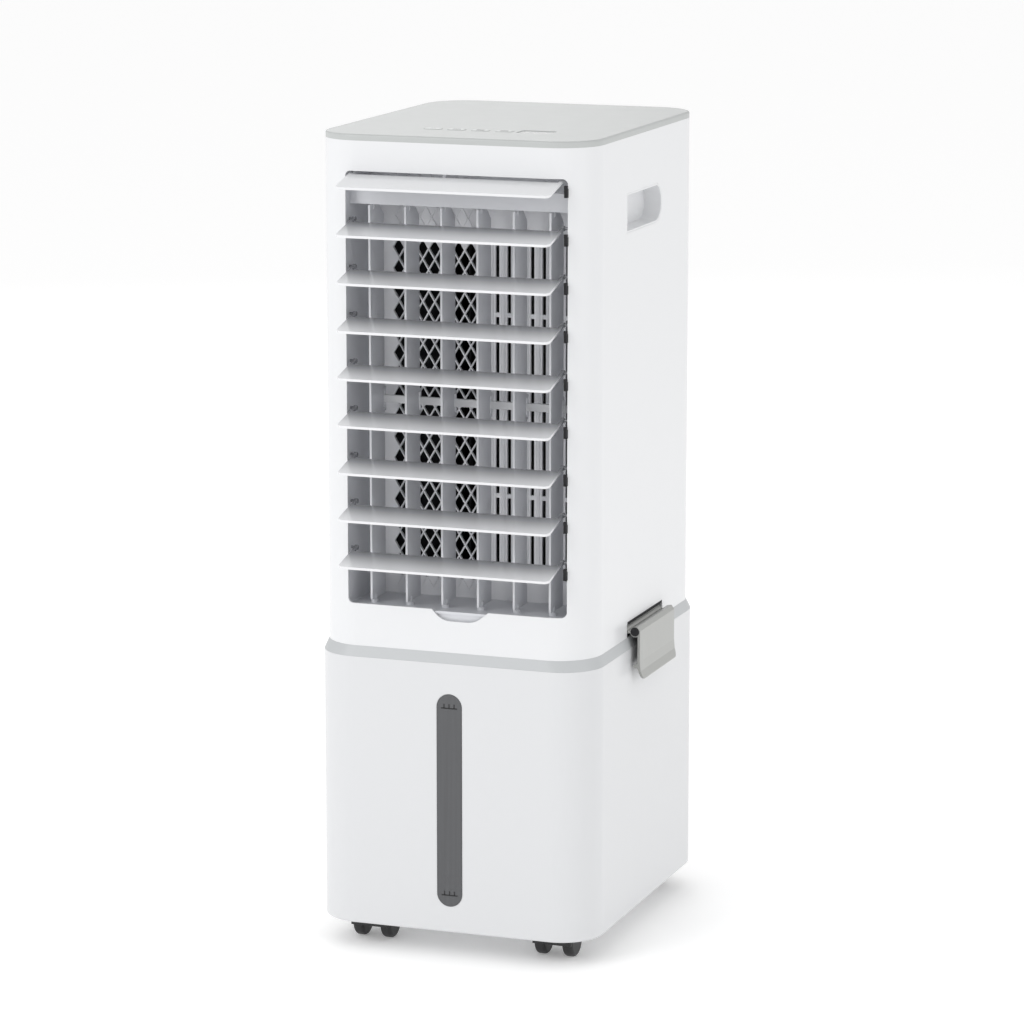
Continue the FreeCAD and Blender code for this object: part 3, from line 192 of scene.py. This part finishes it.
def smoked_window():
    """Clear smoked plastic: darker towards its rim, with fine flow lines down its length."""
    shader = Shader("smoked_window")
    low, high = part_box("level_window")
    half = (high.x - low.x) / 2
    across = shader.node("ShaderNodeMath", {"operation": "ABSOLUTE"}, {0: shader.x})
    rim = shader.node("ShaderNodeMapRange", {"interpolation_type": "SMOOTHSTEP"},
                      {0: across, 1: half - 4.6 * MM, 2: half - 3.2 * MM, 3: 0.0, 4: 1.0})
    streaks = shader.noise(90.0, 3.0, (4.0, 1.0, 0.1))
    body = shader.mix(streaks, (0.054, 0.056, 0.06), (0.072, 0.074, 0.08))
    return shader.done(Base_Color=shader.mix(rim * 0.6, body, (0.05, 0.05, 0.055)),
                       Roughness=0.2 + 0.1 * streaks, Coat_Weight=0.5, Coat_Roughness=0.06)


def rolled_steel(name, colour, rough):
    """Zinc-plated steel with fine drawing lines."""
    shader = Shader(name)
    lines = shader.noise(300.0, 3.0, (1.0, 1.0, 0.08))
    return shader.done(Base_Color=shader.mix(lines, tuple(0.8 * c for c in colour), colour),
                       Metallic=1.0, Roughness=rough + 0.15 * lines,
                       Normal=shader.bump(lines, 0.01 * MM))


def pad_paper():
    """Brown kraft paper, fibrous and darker where it is wet at the foot."""
    shader = Shader("pad_paper")
    low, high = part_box("cooling_pad")
    wet = shader.node("ShaderNodeMapRange", {}, {0: shader.z, 1: low.z, 2: high.z, 3: 0.55, 4: 1.0})
    fibre = shader.noise(700.0, 4.0, (1.0, 1.0, 0.3))
    dry = shader.mix(fibre, (0.27, 0.17, 0.085), (0.42, 0.29, 0.16))
    return shader.done(Base_Color=shader.mix(wet, (0.16, 0.095, 0.045), dry), Roughness=0.85,
                       Normal=shader.bump(fibre, 0.08 * MM))


def circuit_board():
    """Green lacquer over copper tracks."""
    shader = Shader("circuit_board")
    cells = shader.node("ShaderNodeTexVoronoi", {"feature": "DISTANCE_TO_EDGE"},
                        {"Vector": shader.place, "Scale": 220.0})
    track = cells < 0.09
    return shader.done(Base_Color=shader.mix(track, (0.02, 0.13, 0.05), (0.05, 0.24, 0.09)),
                       Roughness=0.35, Normal=shader.bump(track, 0.03 * MM))


def caster_plastic():
    """Black nylon, glossy with faint scuffs."""
    shader = Shader("caster_plastic")
    scuff = shader.noise(240.0, 4.0, (0.3, 1.0, 1.0))
    return shader.done(Base_Color=shader.mix(scuff, (0.008, 0.008, 0.009), (0.02, 0.02, 0.021)),
                       Roughness=0.2 + 0.25 * scuff, Normal=shader.bump(scuff, 0.02 * MM))


FINISHES = {
    "shell_white": moulded("shell_white", (0.745, 0.752, 0.765), 0.32, coat=0.3, flow=0.012),
    "lid_grey": moulded("lid_grey", (0.475, 0.49, 0.485), 0.45, coat=0.08),
    "rim_grey": moulded("rim_grey", (0.5, 0.515, 0.525), 0.4),
    "window_smoke": smoked_window(),
    "louver_grey": louver_plastic(),
    "outlet_grey": moulded("outlet_grey", (0.66, 0.67, 0.7), 0.35, coat=0.2),
    "latch_grey": moulded("latch_grey", (0.34, 0.345, 0.33), 0.3, coat=0.3),
    "key_grey": moulded("key_grey", (0.56, 0.575, 0.57), 0.42),
    "display_smoke": moulded("display_smoke", (0.42, 0.43, 0.43), 0.18, coat=0.6),
    "caster_black": caster_plastic(),
    "caster_tyre": moulded("caster_tyre", (0.022, 0.022, 0.023), 0.45, grain=0.02 * MM, flow=0.2),
    "inner_white": moulded("inner_white", (0.62, 0.625, 0.63), 0.45, flow=0.05),
    "blower_black": moulded("blower_black", (0.012, 0.012, 0.014), 0.5, flow=0.3),
    "motor_steel": rolled_steel("motor_steel", (0.5, 0.51, 0.52), 0.3),
    "screw_steel": rolled_steel("screw_steel", (0.6, 0.6, 0.61), 0.25),
    "pad_paper": pad_paper(),
    "filter_mesh": moulded("filter_mesh", (0.06, 0.062, 0.066), 0.7, flow=0.3),
    "hose_clear": moulded("hose_clear", (0.55, 0.57, 0.57), 0.3, coat=0.4),
    "board_green": circuit_board(),
    "rubber_black": moulded("rubber_black", (0.025, 0.025, 0.026), 0.65, grain=0.02 * MM, flow=0.2),
}
MARK_GREY = moulded("mark_grey", (0.07, 0.072, 0.076), 0.5, flow=0.1)
MARK_BLACK = moulded("mark_black", (0.01, 0.01, 0.011), 0.6, flow=0.1)
# Near-black used as painted shade and painted shadow in holes, gaps and slits.
SHADE_BLACK = moulded("painted_shade_black", (0.014, 0.014, 0.016), 0.8, flow=0.1)


# Nodes given a tone of their own, off the rest of their slot: the tank darker, the guard lighter.
OWN_SHADE = {
    "tank": moulded("tank_white", (0.665, 0.672, 0.685), 0.32, coat=0.3, flow=0.012),
    "outlet_guard": moulded("guard_grey", (0.86, 0.865, 0.89), 0.4),
}


def finish_of(node):
    return OWN_SHADE.get(node, FINISHES[slot_of(node)])


def paint_nodes():
    for entry in frame["record"]["subparts"]:
        mesh = nodes[entry["node"]].data
        mesh.materials.clear()
        mesh.materials.append(finish_of(entry["node"]))


# ---------------------------------------------------------------- pieces

def keep(piece, body, slot, *replaced):
    """The piece rides on its body in place of the replaced parts. The slot is not used."""
    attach(piece, body)
    if replaced:
        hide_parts(*replaced)
    return piece


def body_of(node):
    return next(name for name, held in frame["record"]["behaviour"]["bodies"].items() if node in held)


def slot_of(node):
    return next(e["material_slot"] for e in frame["record"]["subparts"] if e["node"] == node)


def soften(node, width, segments=2):
    """A copy of the node with its moulded edges rounded, in place of the plain one."""
    piece = nodes[node].copy()
    piece.data = nodes[node].data.copy()
    piece.name = node + "_moulding"
    piece.parent = None
    for key in list(piece.keys()):
        del piece[key]
    bpy.context.scene.collection.objects.link(piece)
    shape = bmesh.new()
    shape.from_mesh(piece.data)
    bmesh.ops.remove_doubles(shape, verts=shape.verts, dist=0.002 * MM)
    bmesh.ops.dissolve_limit(shape, angle_limit=math.radians(0.5), verts=shape.verts,
                             edges=shape.edges)
    shape.to_mesh(piece.data)
    shape.free()
    for face in piece.data.polygons:
        face.use_smooth = True
    bevel = piece.modifiers.new("edges", "BEVEL")
    bevel.width = width
    bevel.segments = segments
    bevel.limit_method = "ANGLE"
    bevel.angle_limit = math.radians(35)
    bevel.harden_normals = True
    even = piece.modifiers.new("normals", "WEIGHTED_NORMAL")
    even.weight = 75
    return keep(flatten(piece), body_of(node), slot_of(node), node)


def flatten(piece):
    """Applies the piece's modifiers and leaves a plain mesh."""
    live = piece.evaluated_get(bpy.context.evaluated_depsgraph_get())
    mesh = bpy.data.meshes.new_from_object(live)
    piece.modifiers.clear()
    old = piece.data
    piece.data = mesh
    if old.users == 0 and isinstance(old, bpy.types.Mesh):
        bpy.data.meshes.remove(old)
    return piece


# ---------------------------------------------------------------- writing geometry

class Pattern:
    """A Geometry Nodes tree with named inputs, made into a plain mesh for one body."""

    def __init__(self, name, finish, **sizes):
        self.name, self.finish, self.sizes = name, finish, sizes
        self.tree = bpy.data.node_groups.new(name, "GeometryNodeTree")
        self.tree.interface.new_socket("Geometry", in_out="OUTPUT",
                                       socket_type="NodeSocketGeometry")
        self.keys = {}
        for key, value in sizes.items():
            kind = "NodeSocketInt" if isinstance(value, int) else \
                "NodeSocketVector" if isinstance(value, tuple) else "NodeSocketFloat"
            socket = self.tree.interface.new_socket(key, in_out="INPUT", socket_type=kind)
            self.keys[key] = socket.identifier
        self.given = self.tree.nodes.new("NodeGroupInput")

    def size(self, key):
        return self.given.outputs[key]

    def node(self, kind, settings=None, inputs=None, output=0):
        """Adds a node and returns one of its output sockets."""
        made = self.tree.nodes.new(kind)
        for key, value in (settings or {}).items():
            setattr(made, key, value)
        for key, value in (inputs or {}).items():
            for item in value if isinstance(value, list) else [value]:
                if isinstance(item, bpy.types.NodeSocket):
                    self.tree.links.new(item, made.inputs[key])
                else:
                    made.inputs[key].default_value = item
        return made.outputs[output]

    def maths(self, operation, first, second=0.0):
        return self.node("ShaderNodeMath", {"operation": operation}, {0: first, 1: second})

    def vector(self, x=0.0, y=0.0, z=0.0):
        return self.node("ShaderNodeCombineXYZ", {}, {"X": x, "Y": y, "Z": z})

    def block(self, size):
        return self.node("GeometryNodeMeshCube", {}, {"Size": size})

    def row(self, count, start, step):
        """Points from start, one step apart."""
        return self.node("GeometryNodeMeshLine", {"mode": "OFFSET"},
                         {"Count": count, "Start Location": start, "Offset": step})

    def copies(self, points, shape, **more):
        inputs = {"Points": points, "Instance": shape}
        inputs.update({key.replace("_", " "): value for key, value in more.items()})
        return self.node("GeometryNodeInstanceOnPoints", {}, inputs)

    def moved(self, shape, place=(0, 0, 0), turn=(0, 0, 0)):
        return self.node("GeometryNodeTransform", {},
                         {"Geometry": shape, "Translation": place, "Rotation": turn})

    def joined(self, *shapes):
        return self.node("GeometryNodeJoinGeometry", {}, {"Geometry": list(shapes)})

    def made(self, shape, body, slot, replaced=(), soft_edge=0.0, smooth=False):
        """Ends the tree, evaluates it and keeps the plain mesh on the body."""
        shape = self.node("GeometryNodeRealizeInstances", {}, {"Geometry": shape})
        shape = self.node("GeometryNodeSetShadeSmooth", {},
                          {"Geometry": shape, "Shade Smooth": smooth})
        shape = self.node("GeometryNodeSetMaterial", {},
                          {"Geometry": shape, "Material": self.finish})
        end = self.tree.nodes.new("NodeGroupOutput")
        self.tree.links.new(shape, end.inputs[0])
        piece = bpy.data.objects.new(self.name, bpy.data.meshes.new(self.name))
        bpy.context.scene.collection.objects.link(piece)
        shaping = piece.modifiers.new("shape", "NODES")
        shaping.node_group = self.tree
        for key, value in self.sizes.items():
            shaping[self.keys[key]] = value
        flatten(piece)
        if soft_edge:
            bevel = piece.modifiers.new("edges", "BEVEL")
            bevel.width = soft_edge
            bevel.segments = 2
            bevel.limit_method = "ANGLE"
            flatten(piece)
        bpy.data.node_groups.remove(self.tree)
        return keep(piece, body, slot, *replaced)


# ---------------------------------------------------------------- moulded detail

def add_level_marks():
    """Highest and lowest level lines, with a short tick at each end, in the window."""
    low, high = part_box("level_window")
    across = (low.x + high.x) / 2
    full, empty = high.z - 16.4 * MM, low.z + 11.0 * MM
    for name, up in (("level_mark_high", full), ("level_mark_low", empty)):
        marks = Pattern(name, MARK_BLACK, Line=(16.0 * MM, 0.2 * MM, 1.2 * MM),
                        Tick=(1.1 * MM, 0.2 * MM, 3.8 * MM), Gap=5.0 * MM, Ticks=3)
        line = marks.block(marks.size("Line"))
        place = marks.vector(marks.maths("MULTIPLY", marks.size("Gap"), -1.0), 0.0, 2.2 * MM)
        row = marks.row(marks.size("Ticks"), place, marks.vector(marks.size("Gap")))
        ticks = marks.copies(row, marks.block(marks.size("Tick")))
        shape = marks.moved(marks.joined(line, ticks), (across, low.y - 0.05 * MM, up))
        marks.made(shape, "tank", "window_smoke")


def guard_front():
    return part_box("outlet_guard")[0].y


def add_lattice_relief():
    """Raised strands that carry the guard's diamonds on over its plain ends."""
    front, floor = guard_front(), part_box("outlet_guard")[0].z + 2.5 * MM
    wide, tall = 12.0 * MM, 20.0 * MM
    lean = math.atan2(wide, tall)
    left = -73.0 * MM
    for name, foot, rows in (("lattice_foot", 8.0 * MM, 1), ("lattice_head", 340.0 * MM, 3)):
        relief = Pattern(name, OWN_SHADE["outlet_guard"], Columns=7, Rows=rows,
                         Strand=(1.5 * MM, 1.5 * MM, 22.6 * MM), Width=wide, Height=tall)
        strand = relief.block(relief.size("Strand"))
        pair = relief.joined(relief.moved(strand, (0, 0, 0), (0, lean, 0)),
                             relief.moved(strand, (0, 0, 0), (0, -lean, 0)))
        columns = relief.row(relief.size("Columns"), relief.vector(),
                             relief.vector(relief.size("Width")))
        rows_up = relief.row(relief.size("Rows"), relief.vector(),
                             relief.vector(0.0, 0.0, relief.size("Height")))
        grid = relief.copies(rows_up, relief.copies(columns, pair))
        place = (left, front - 0.35 * MM, floor + foot + tall / 2)
        relief.made(relief.moved(grid, place), "head", "outlet_grey")


def add_guard_ribs():
    """Round-backed upright ribs between the guard's slots."""
    first, middle = 16.75 * MM, 514.0 * MM
    ribs = Pattern("guard_ribs", OWN_SHADE["outlet_guard"], Count=8, Pitch=11.5 * MM,
                   Height=318.0 * MM, Radius=2.6 * MM)
    rod = ribs.node("GeometryNodeMeshCylinder", {},
                    {"Vertices": 12, "Radius": ribs.size("Radius"), "Depth": ribs.size("Height")})
    row = ribs.row(ribs.size("Count"), ribs.vector(first, guard_front() + 1.4 * MM, middle),
                   ribs.vector(ribs.size("Pitch")))
    ribs.made(ribs.copies(row, rod), "head", "outlet_grey")


def louver_pivots():
    """The lowest louver's pivot, and the step from one louver up to the next."""
    lowest, highest = (next(joint["pos_m"] for joint in frame["joints"] if joint["name"] == name)
                       for name in (f"louver_{LOUVERS}_tilt", "louver_1_tilt"))
    return lowest, (highest[2] - lowest[2]) / (LOUVERS - 1)


def up_the_louvers(pattern, shape):
    """One copy of the shape for every louver."""
    row = pattern.row(pattern.size("Count"), pattern.vector(),
                      pattern.vector(0.0, 0.0, pattern.size("Pitch")))
    return pattern.copies(row, shape)


def add_pivot_socket_shade():
    """A near-black disc at each louver's right pivot, painted as the shade in its socket."""
    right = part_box("outlet_frame")[1].x - 2.5 * MM
    lowest, pitch = louver_pivots()
    sockets = Pattern("pivot_socket_shade", SHADE_BLACK, Count=LOUVERS, Pitch=pitch, Radius=4.2 * MM)
    disc = sockets.node("GeometryNodeMeshCylinder", {},
                        {"Vertices": 24, "Radius": sockets.size("Radius"), "Depth": 0.3 * MM})
    disc = sockets.moved(disc, (right, lowest[1], lowest[2]), (0, math.pi / 2, 0))
    sockets.made(up_the_louvers(sockets, disc), "head", "outlet_grey")


def add_pivot_hooks():
    """A hook in the slit at the right end of every louver, which holds its pivot; it is coloured near-black as
    painted shade in the slit.
    """
    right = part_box("outlet_frame")[1].x
    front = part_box("front_shell")[0].y
    lowest, pitch = louver_pivots()
    hooks = Pattern("pivot_hooks", SHADE_BLACK, Count=LOUVERS, Pitch=pitch,
                    Post=(3.0 * MM, 6.0 * MM, 8.0 * MM), Toe=(3.0 * MM, 3.0 * MM, 3.0 * MM))
    post = hooks.moved(hooks.block(hooks.size("Post")), (0, 0, -11.0 * MM))
    toe = hooks.moved(hooks.block(hooks.size("Toe")), (0, -1.8 * MM, -5.6 * MM))
    place = (right - 4.4 * MM, front + 4.2 * MM, lowest[2])
    shape = hooks.moved(up_the_louvers(hooks, hooks.joined(post, toe)), place)
    hooks.made(shape, "head", "outlet_grey")


def add_caster_bars():
    """A guard bar before each pair of wheels, on a short arm of the fork between them."""
    for number in range(1, CASTERS + 1):
        low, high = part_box(f"caster_{number}_wheels")
        across, up = (low.x + high.x) / 2, (low.z + high.z) / 2 + 1.5 * MM
        bar = Pattern(f"caster_{number}_bar", FINISHES["caster_black"],
                      Bar=(high.x - low.x, 2.4 * MM, 6.4 * MM), Arm=(5.0 * MM, 6.0 * MM, 4.6 * MM))
        front = bar.moved(bar.block(bar.size("Bar")), (across, low.y - 2.2 * MM, up))
        arm = bar.moved(bar.block(bar.size("Arm")), (across, low.y + 1.2 * MM, up))
        bar.made(bar.joined(front, arm), f"caster_{number}", "caster_black", soft_edge=0.6 * MM)


def add_latch_shadows():
    """Painted shadows at each latch: a thin near-black sheet in the gap over it, and a near-black disc as painted
    shade in the hollow front end of its roll.
    """
    shell_low, shell_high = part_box("front_shell")
    middle, half = (shell_high.x + shell_low.x) / 2, (shell_high.x - shell_low.x) / 2
    for side, node in ((-1, "latch_left"), (1, "latch_right")):
        low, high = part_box(node)
        face = middle + side * half
        # Painted shadow: a near-black sheet on the shell's side, for the shadow in the gap over the latch.
        slot = Pattern(f"{node}_slot", SHADE_BLACK,
                       Size=(0.1 * MM, high.y - low.y - 13.0 * MM, 3.0 * MM))
        place = (face - side * 0.02 * MM, (low.y + high.y) / 2, high.z + 2.6 * MM)
        slot.made(slot.moved(slot.block(slot.size("Size")), place), "head", "rubber_black")
        # Painted shade: a near-black disc on the roll's front end, for the shade inside the hollow roll.
        cap_shade = Pattern(f"{node}_cap", SHADE_BLACK, Radius=4.3 * MM, Depth=0.3 * MM)
        disc = cap_shade.node("GeometryNodeMeshCylinder", {},
                        {"Vertices": 32, "Radius": cap_shade.size("Radius"), "Depth": cap_shade.size("Depth")})
        roll_end = (face + side * 7.5 * MM, low.y + 6.4 * MM, high.z - 4.8 * MM)
        cap_shade.made(cap_shade.moved(disc, roll_end, (math.pi / 2, 0, 0)), node, "rubber_black")


def add_pad_flutes():
    """Cross-fluted paper: upright sheets, with slats between them that lean both ways in turn."""
    low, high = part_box("cooling_pad")
    middle = (low + high) / 2
    wide, deep, tall = high - low
    sheets, slats = 26, 48
    margin, end = 0.3 * MM, 6.0 * MM
    lean = 0.6
    pad = Pattern("pad_flutes", FINISHES["pad_paper"], Sheets=sheets + 1, Slats=slats,
                  Gap=(wide - 2 * margin) / sheets, Step=(tall - end) / slats,
                  Sheet=(0.5 * MM, deep - 0.4 * MM, tall - 0.4 * MM),
                  Slat=(1.2 * wide / sheets, deep - 0.8 * MM, 0.4 * MM))
    step = pad.vector(0.0, 0.0, pad.size("Step"))
    twice = pad.vector(pad.maths("MULTIPLY", pad.size("Gap"), 2.0))
    first = (low.x + margin, middle.y, middle.z)
    pieces = [pad.copies(pad.row(pad.size("Sheets"), first, pad.vector(pad.size("Gap"))),
                         pad.block(pad.size("Sheet")))]
    for start, turn in ((0.5, lean), (1.5, -lean)):
        slat = pad.moved(pad.block(pad.size("Slat")), (0, 0, 0), (0, turn, 0))
        column = pad.copies(pad.row(pad.size("Slats"), (0, 0, 0), step), slat)
        place = (low.x + margin + start * wide / sheets, middle.y, low.z + end)
        pieces.append(pad.copies(pad.row(sheets // 2, place, twice), column))
    pad.made(pad.joined(*pieces), "head", "pad_paper", ("cooling_pad",))


def add_key_marks():
    """Plain signs on the keys: a ring on the first, then two and three bars."""
    gap = 1.9 * MM
    for number in range(1, KEYS + 1):
        low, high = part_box(f"key_{number}")
        across, along, top = (low.x + high.x) / 2, (low.y + high.y) / 2, high.z - 0.02 * MM
        bars = min(number, 3)
        sign = Pattern(f"key_{number}_sign", MARK_GREY, Bar=(8.0 * MM, 1.3 * MM, 0.1 * MM),
                       Bars=bars, Gap=gap, Ring=2.2 * MM, Line=0.3 * MM)
        if number == 1:
            path, section = (
                sign.node("GeometryNodeCurvePrimitiveCircle", {},
                          {"Resolution": sides, "Radius": sign.size(key)})
                for sides, key in ((24, "Ring"), (6, "Line")))
            shape = sign.node("GeometryNodeCurveToMesh", {},
                              {"Curve": path, "Profile Curve": section})
            place = (across, along, top - 0.22 * MM)
        else:
            row = sign.row(sign.size("Bars"), sign.vector(), sign.vector(0.0, sign.size("Gap")))
            shape = sign.copies(row, sign.block(sign.size("Bar")))
            place = (across, along - gap * (bars - 1) / 2, top)
        sign.made(sign.moved(shape, place), f"key_{number}", "key_grey")


def add_filter_weave():
    """Woven threads across the dust filter's windows."""
    low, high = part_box("dust_filter")
    middle = (low + high) / 2
    pitch, thread, border = 2.4 * MM, 0.35 * MM, 4.0 * MM
    wide, tall = high.x - low.x - 2 * border, high.z - low.z - 2 * border
    first_x, first_z = low.x + 5 * MM, low.z + 5 * MM
    behind = high.y - 2.2 * MM
    weave = Pattern("filter_weave", FINISHES["filter_mesh"], Pitch=pitch,
                    Upright=(thread, thread, tall), Across=(wide, thread, thread),
                    Columns=int(wide / pitch), Rows=int(tall / pitch))
    uprights = weave.copies(
        weave.row(weave.size("Columns"), (first_x, behind, middle.z),
                  weave.vector(weave.size("Pitch"))), weave.block(weave.size("Upright")))
    across = weave.copies(
        weave.row(weave.size("Rows"), (middle.x, behind + 0.3 * MM, first_z),
                  weave.vector(0.0, 0.0, weave.size("Pitch"))), weave.block(weave.size("Across")))
    weave.made(weave.joined(uprights, across), "rear_grille", "filter_mesh")


# ---------------------------------------------------------------- stage

CAMERA_AZIMUTH = math.radians(19.86)
CAMERA_ELEVATION = math.radians(11.12)
CAMERA_DISTANCE = 4.108
CAMERA_LENS = 150.1
AIM_HEIGHT = 0.3723
AIM_ACROSS = 0.0007


def add_camera():
    low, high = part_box("tank")
    aim = Vector((AIM_ACROSS, (low.y + high.y) / 2, low.z + AIM_HEIGHT))
    level = math.cos(CAMERA_ELEVATION)
    way = Vector((math.sin(CAMERA_AZIMUTH) * level, -math.cos(CAMERA_AZIMUTH) * level,
                  math.sin(CAMERA_ELEVATION)))
    camera = bpy.data.objects.new("camera", bpy.data.cameras.new("camera"))
    bpy.context.scene.collection.objects.link(camera)
    camera.location = aim + way * CAMERA_DISTANCE
    camera.rotation_euler = (math.pi / 2 - CAMERA_ELEVATION, 0, CAMERA_AZIMUTH)
    camera.data.lens = CAMERA_LENS
    camera.data.clip_end = 60
    bpy.context.scene.camera = camera


def add_floor():
    half = 12.0
    mesh = bpy.data.meshes.new("floor")
    mesh.from_pydata([(-half, -half, 0), (half, -half, 0), (half, half, 0), (-half, half, 0)], [],
                     [(0, 1, 2, 3)])
    floor = bpy.data.objects.new("floor", mesh)
    bpy.context.scene.collection.objects.link(floor)
    shader = Shader("floor_pale")
    mesh.materials.append(shader.done(Base_Color=(0.96, 0.96, 0.96), Roughness=0.9,
                                      Emission_Color=(1, 1, 1), Emission_Strength=0.2))


def add_lamp(name, place, size, power):
    """A square soft box that faces the middle of the object."""
    lamp = bpy.data.lights.new(name, "AREA")
    lamp.shape = "SQUARE"
    lamp.size = size
    lamp.energy = power
    piece = bpy.data.objects.new(name, lamp)
    bpy.context.scene.collection.objects.link(piece)
    piece.location = place
    way = Vector((0, 0, 0.4)) - piece.location
    piece.rotation_euler = way.to_track_quat("-Z", "Y").to_euler()


def add_light():
    world = bpy.data.worlds.new("studio")
    bpy.context.scene.world = world
    world.use_nodes = True
    backdrop = world.node_tree.nodes["Background"]
    backdrop.inputs["Color"].default_value = (1, 1, 1, 1)
    backdrop.inputs["Strength"].default_value = 0.8
    add_lamp("key_light", (-1.6, -2.6, 1.9), 1.8, 32)
    add_lamp("side_light", (3.0, -0.6, 1.4), 1.6, 13)
    add_lamp("back_light", (-1.5, 3.0, 2.2), 1.6, 14)
    bpy.context.scene.view_settings.view_transform = "Standard"


add_camera()
paint_nodes()
for number in range(1, LOUVERS + 1):
    soften(f"louver_{number}", 0.9 * MM, 3)
for number in range(1, VANES + 1):
    soften(f"vane_{number}", 0.5 * MM)
for node in ("outlet_frame", "front_shell", "latch_left", "latch_right", "handle_cups",
             "rear_shell", "top_cover", "vane_link", "rim_band", "tank"):
    soften(node, 0.5 * MM)
for number in range(1, KEYS + 1):
    soften(f"key_{number}", 0.4 * MM)
add_level_marks()
add_lattice_relief()
add_guard_ribs()
add_pivot_socket_shade()
add_pivot_hooks()
add_caster_bars()
add_latch_shadows()
add_pad_flutes()
add_key_marks()
add_filter_weave()
add_floor()
add_light()
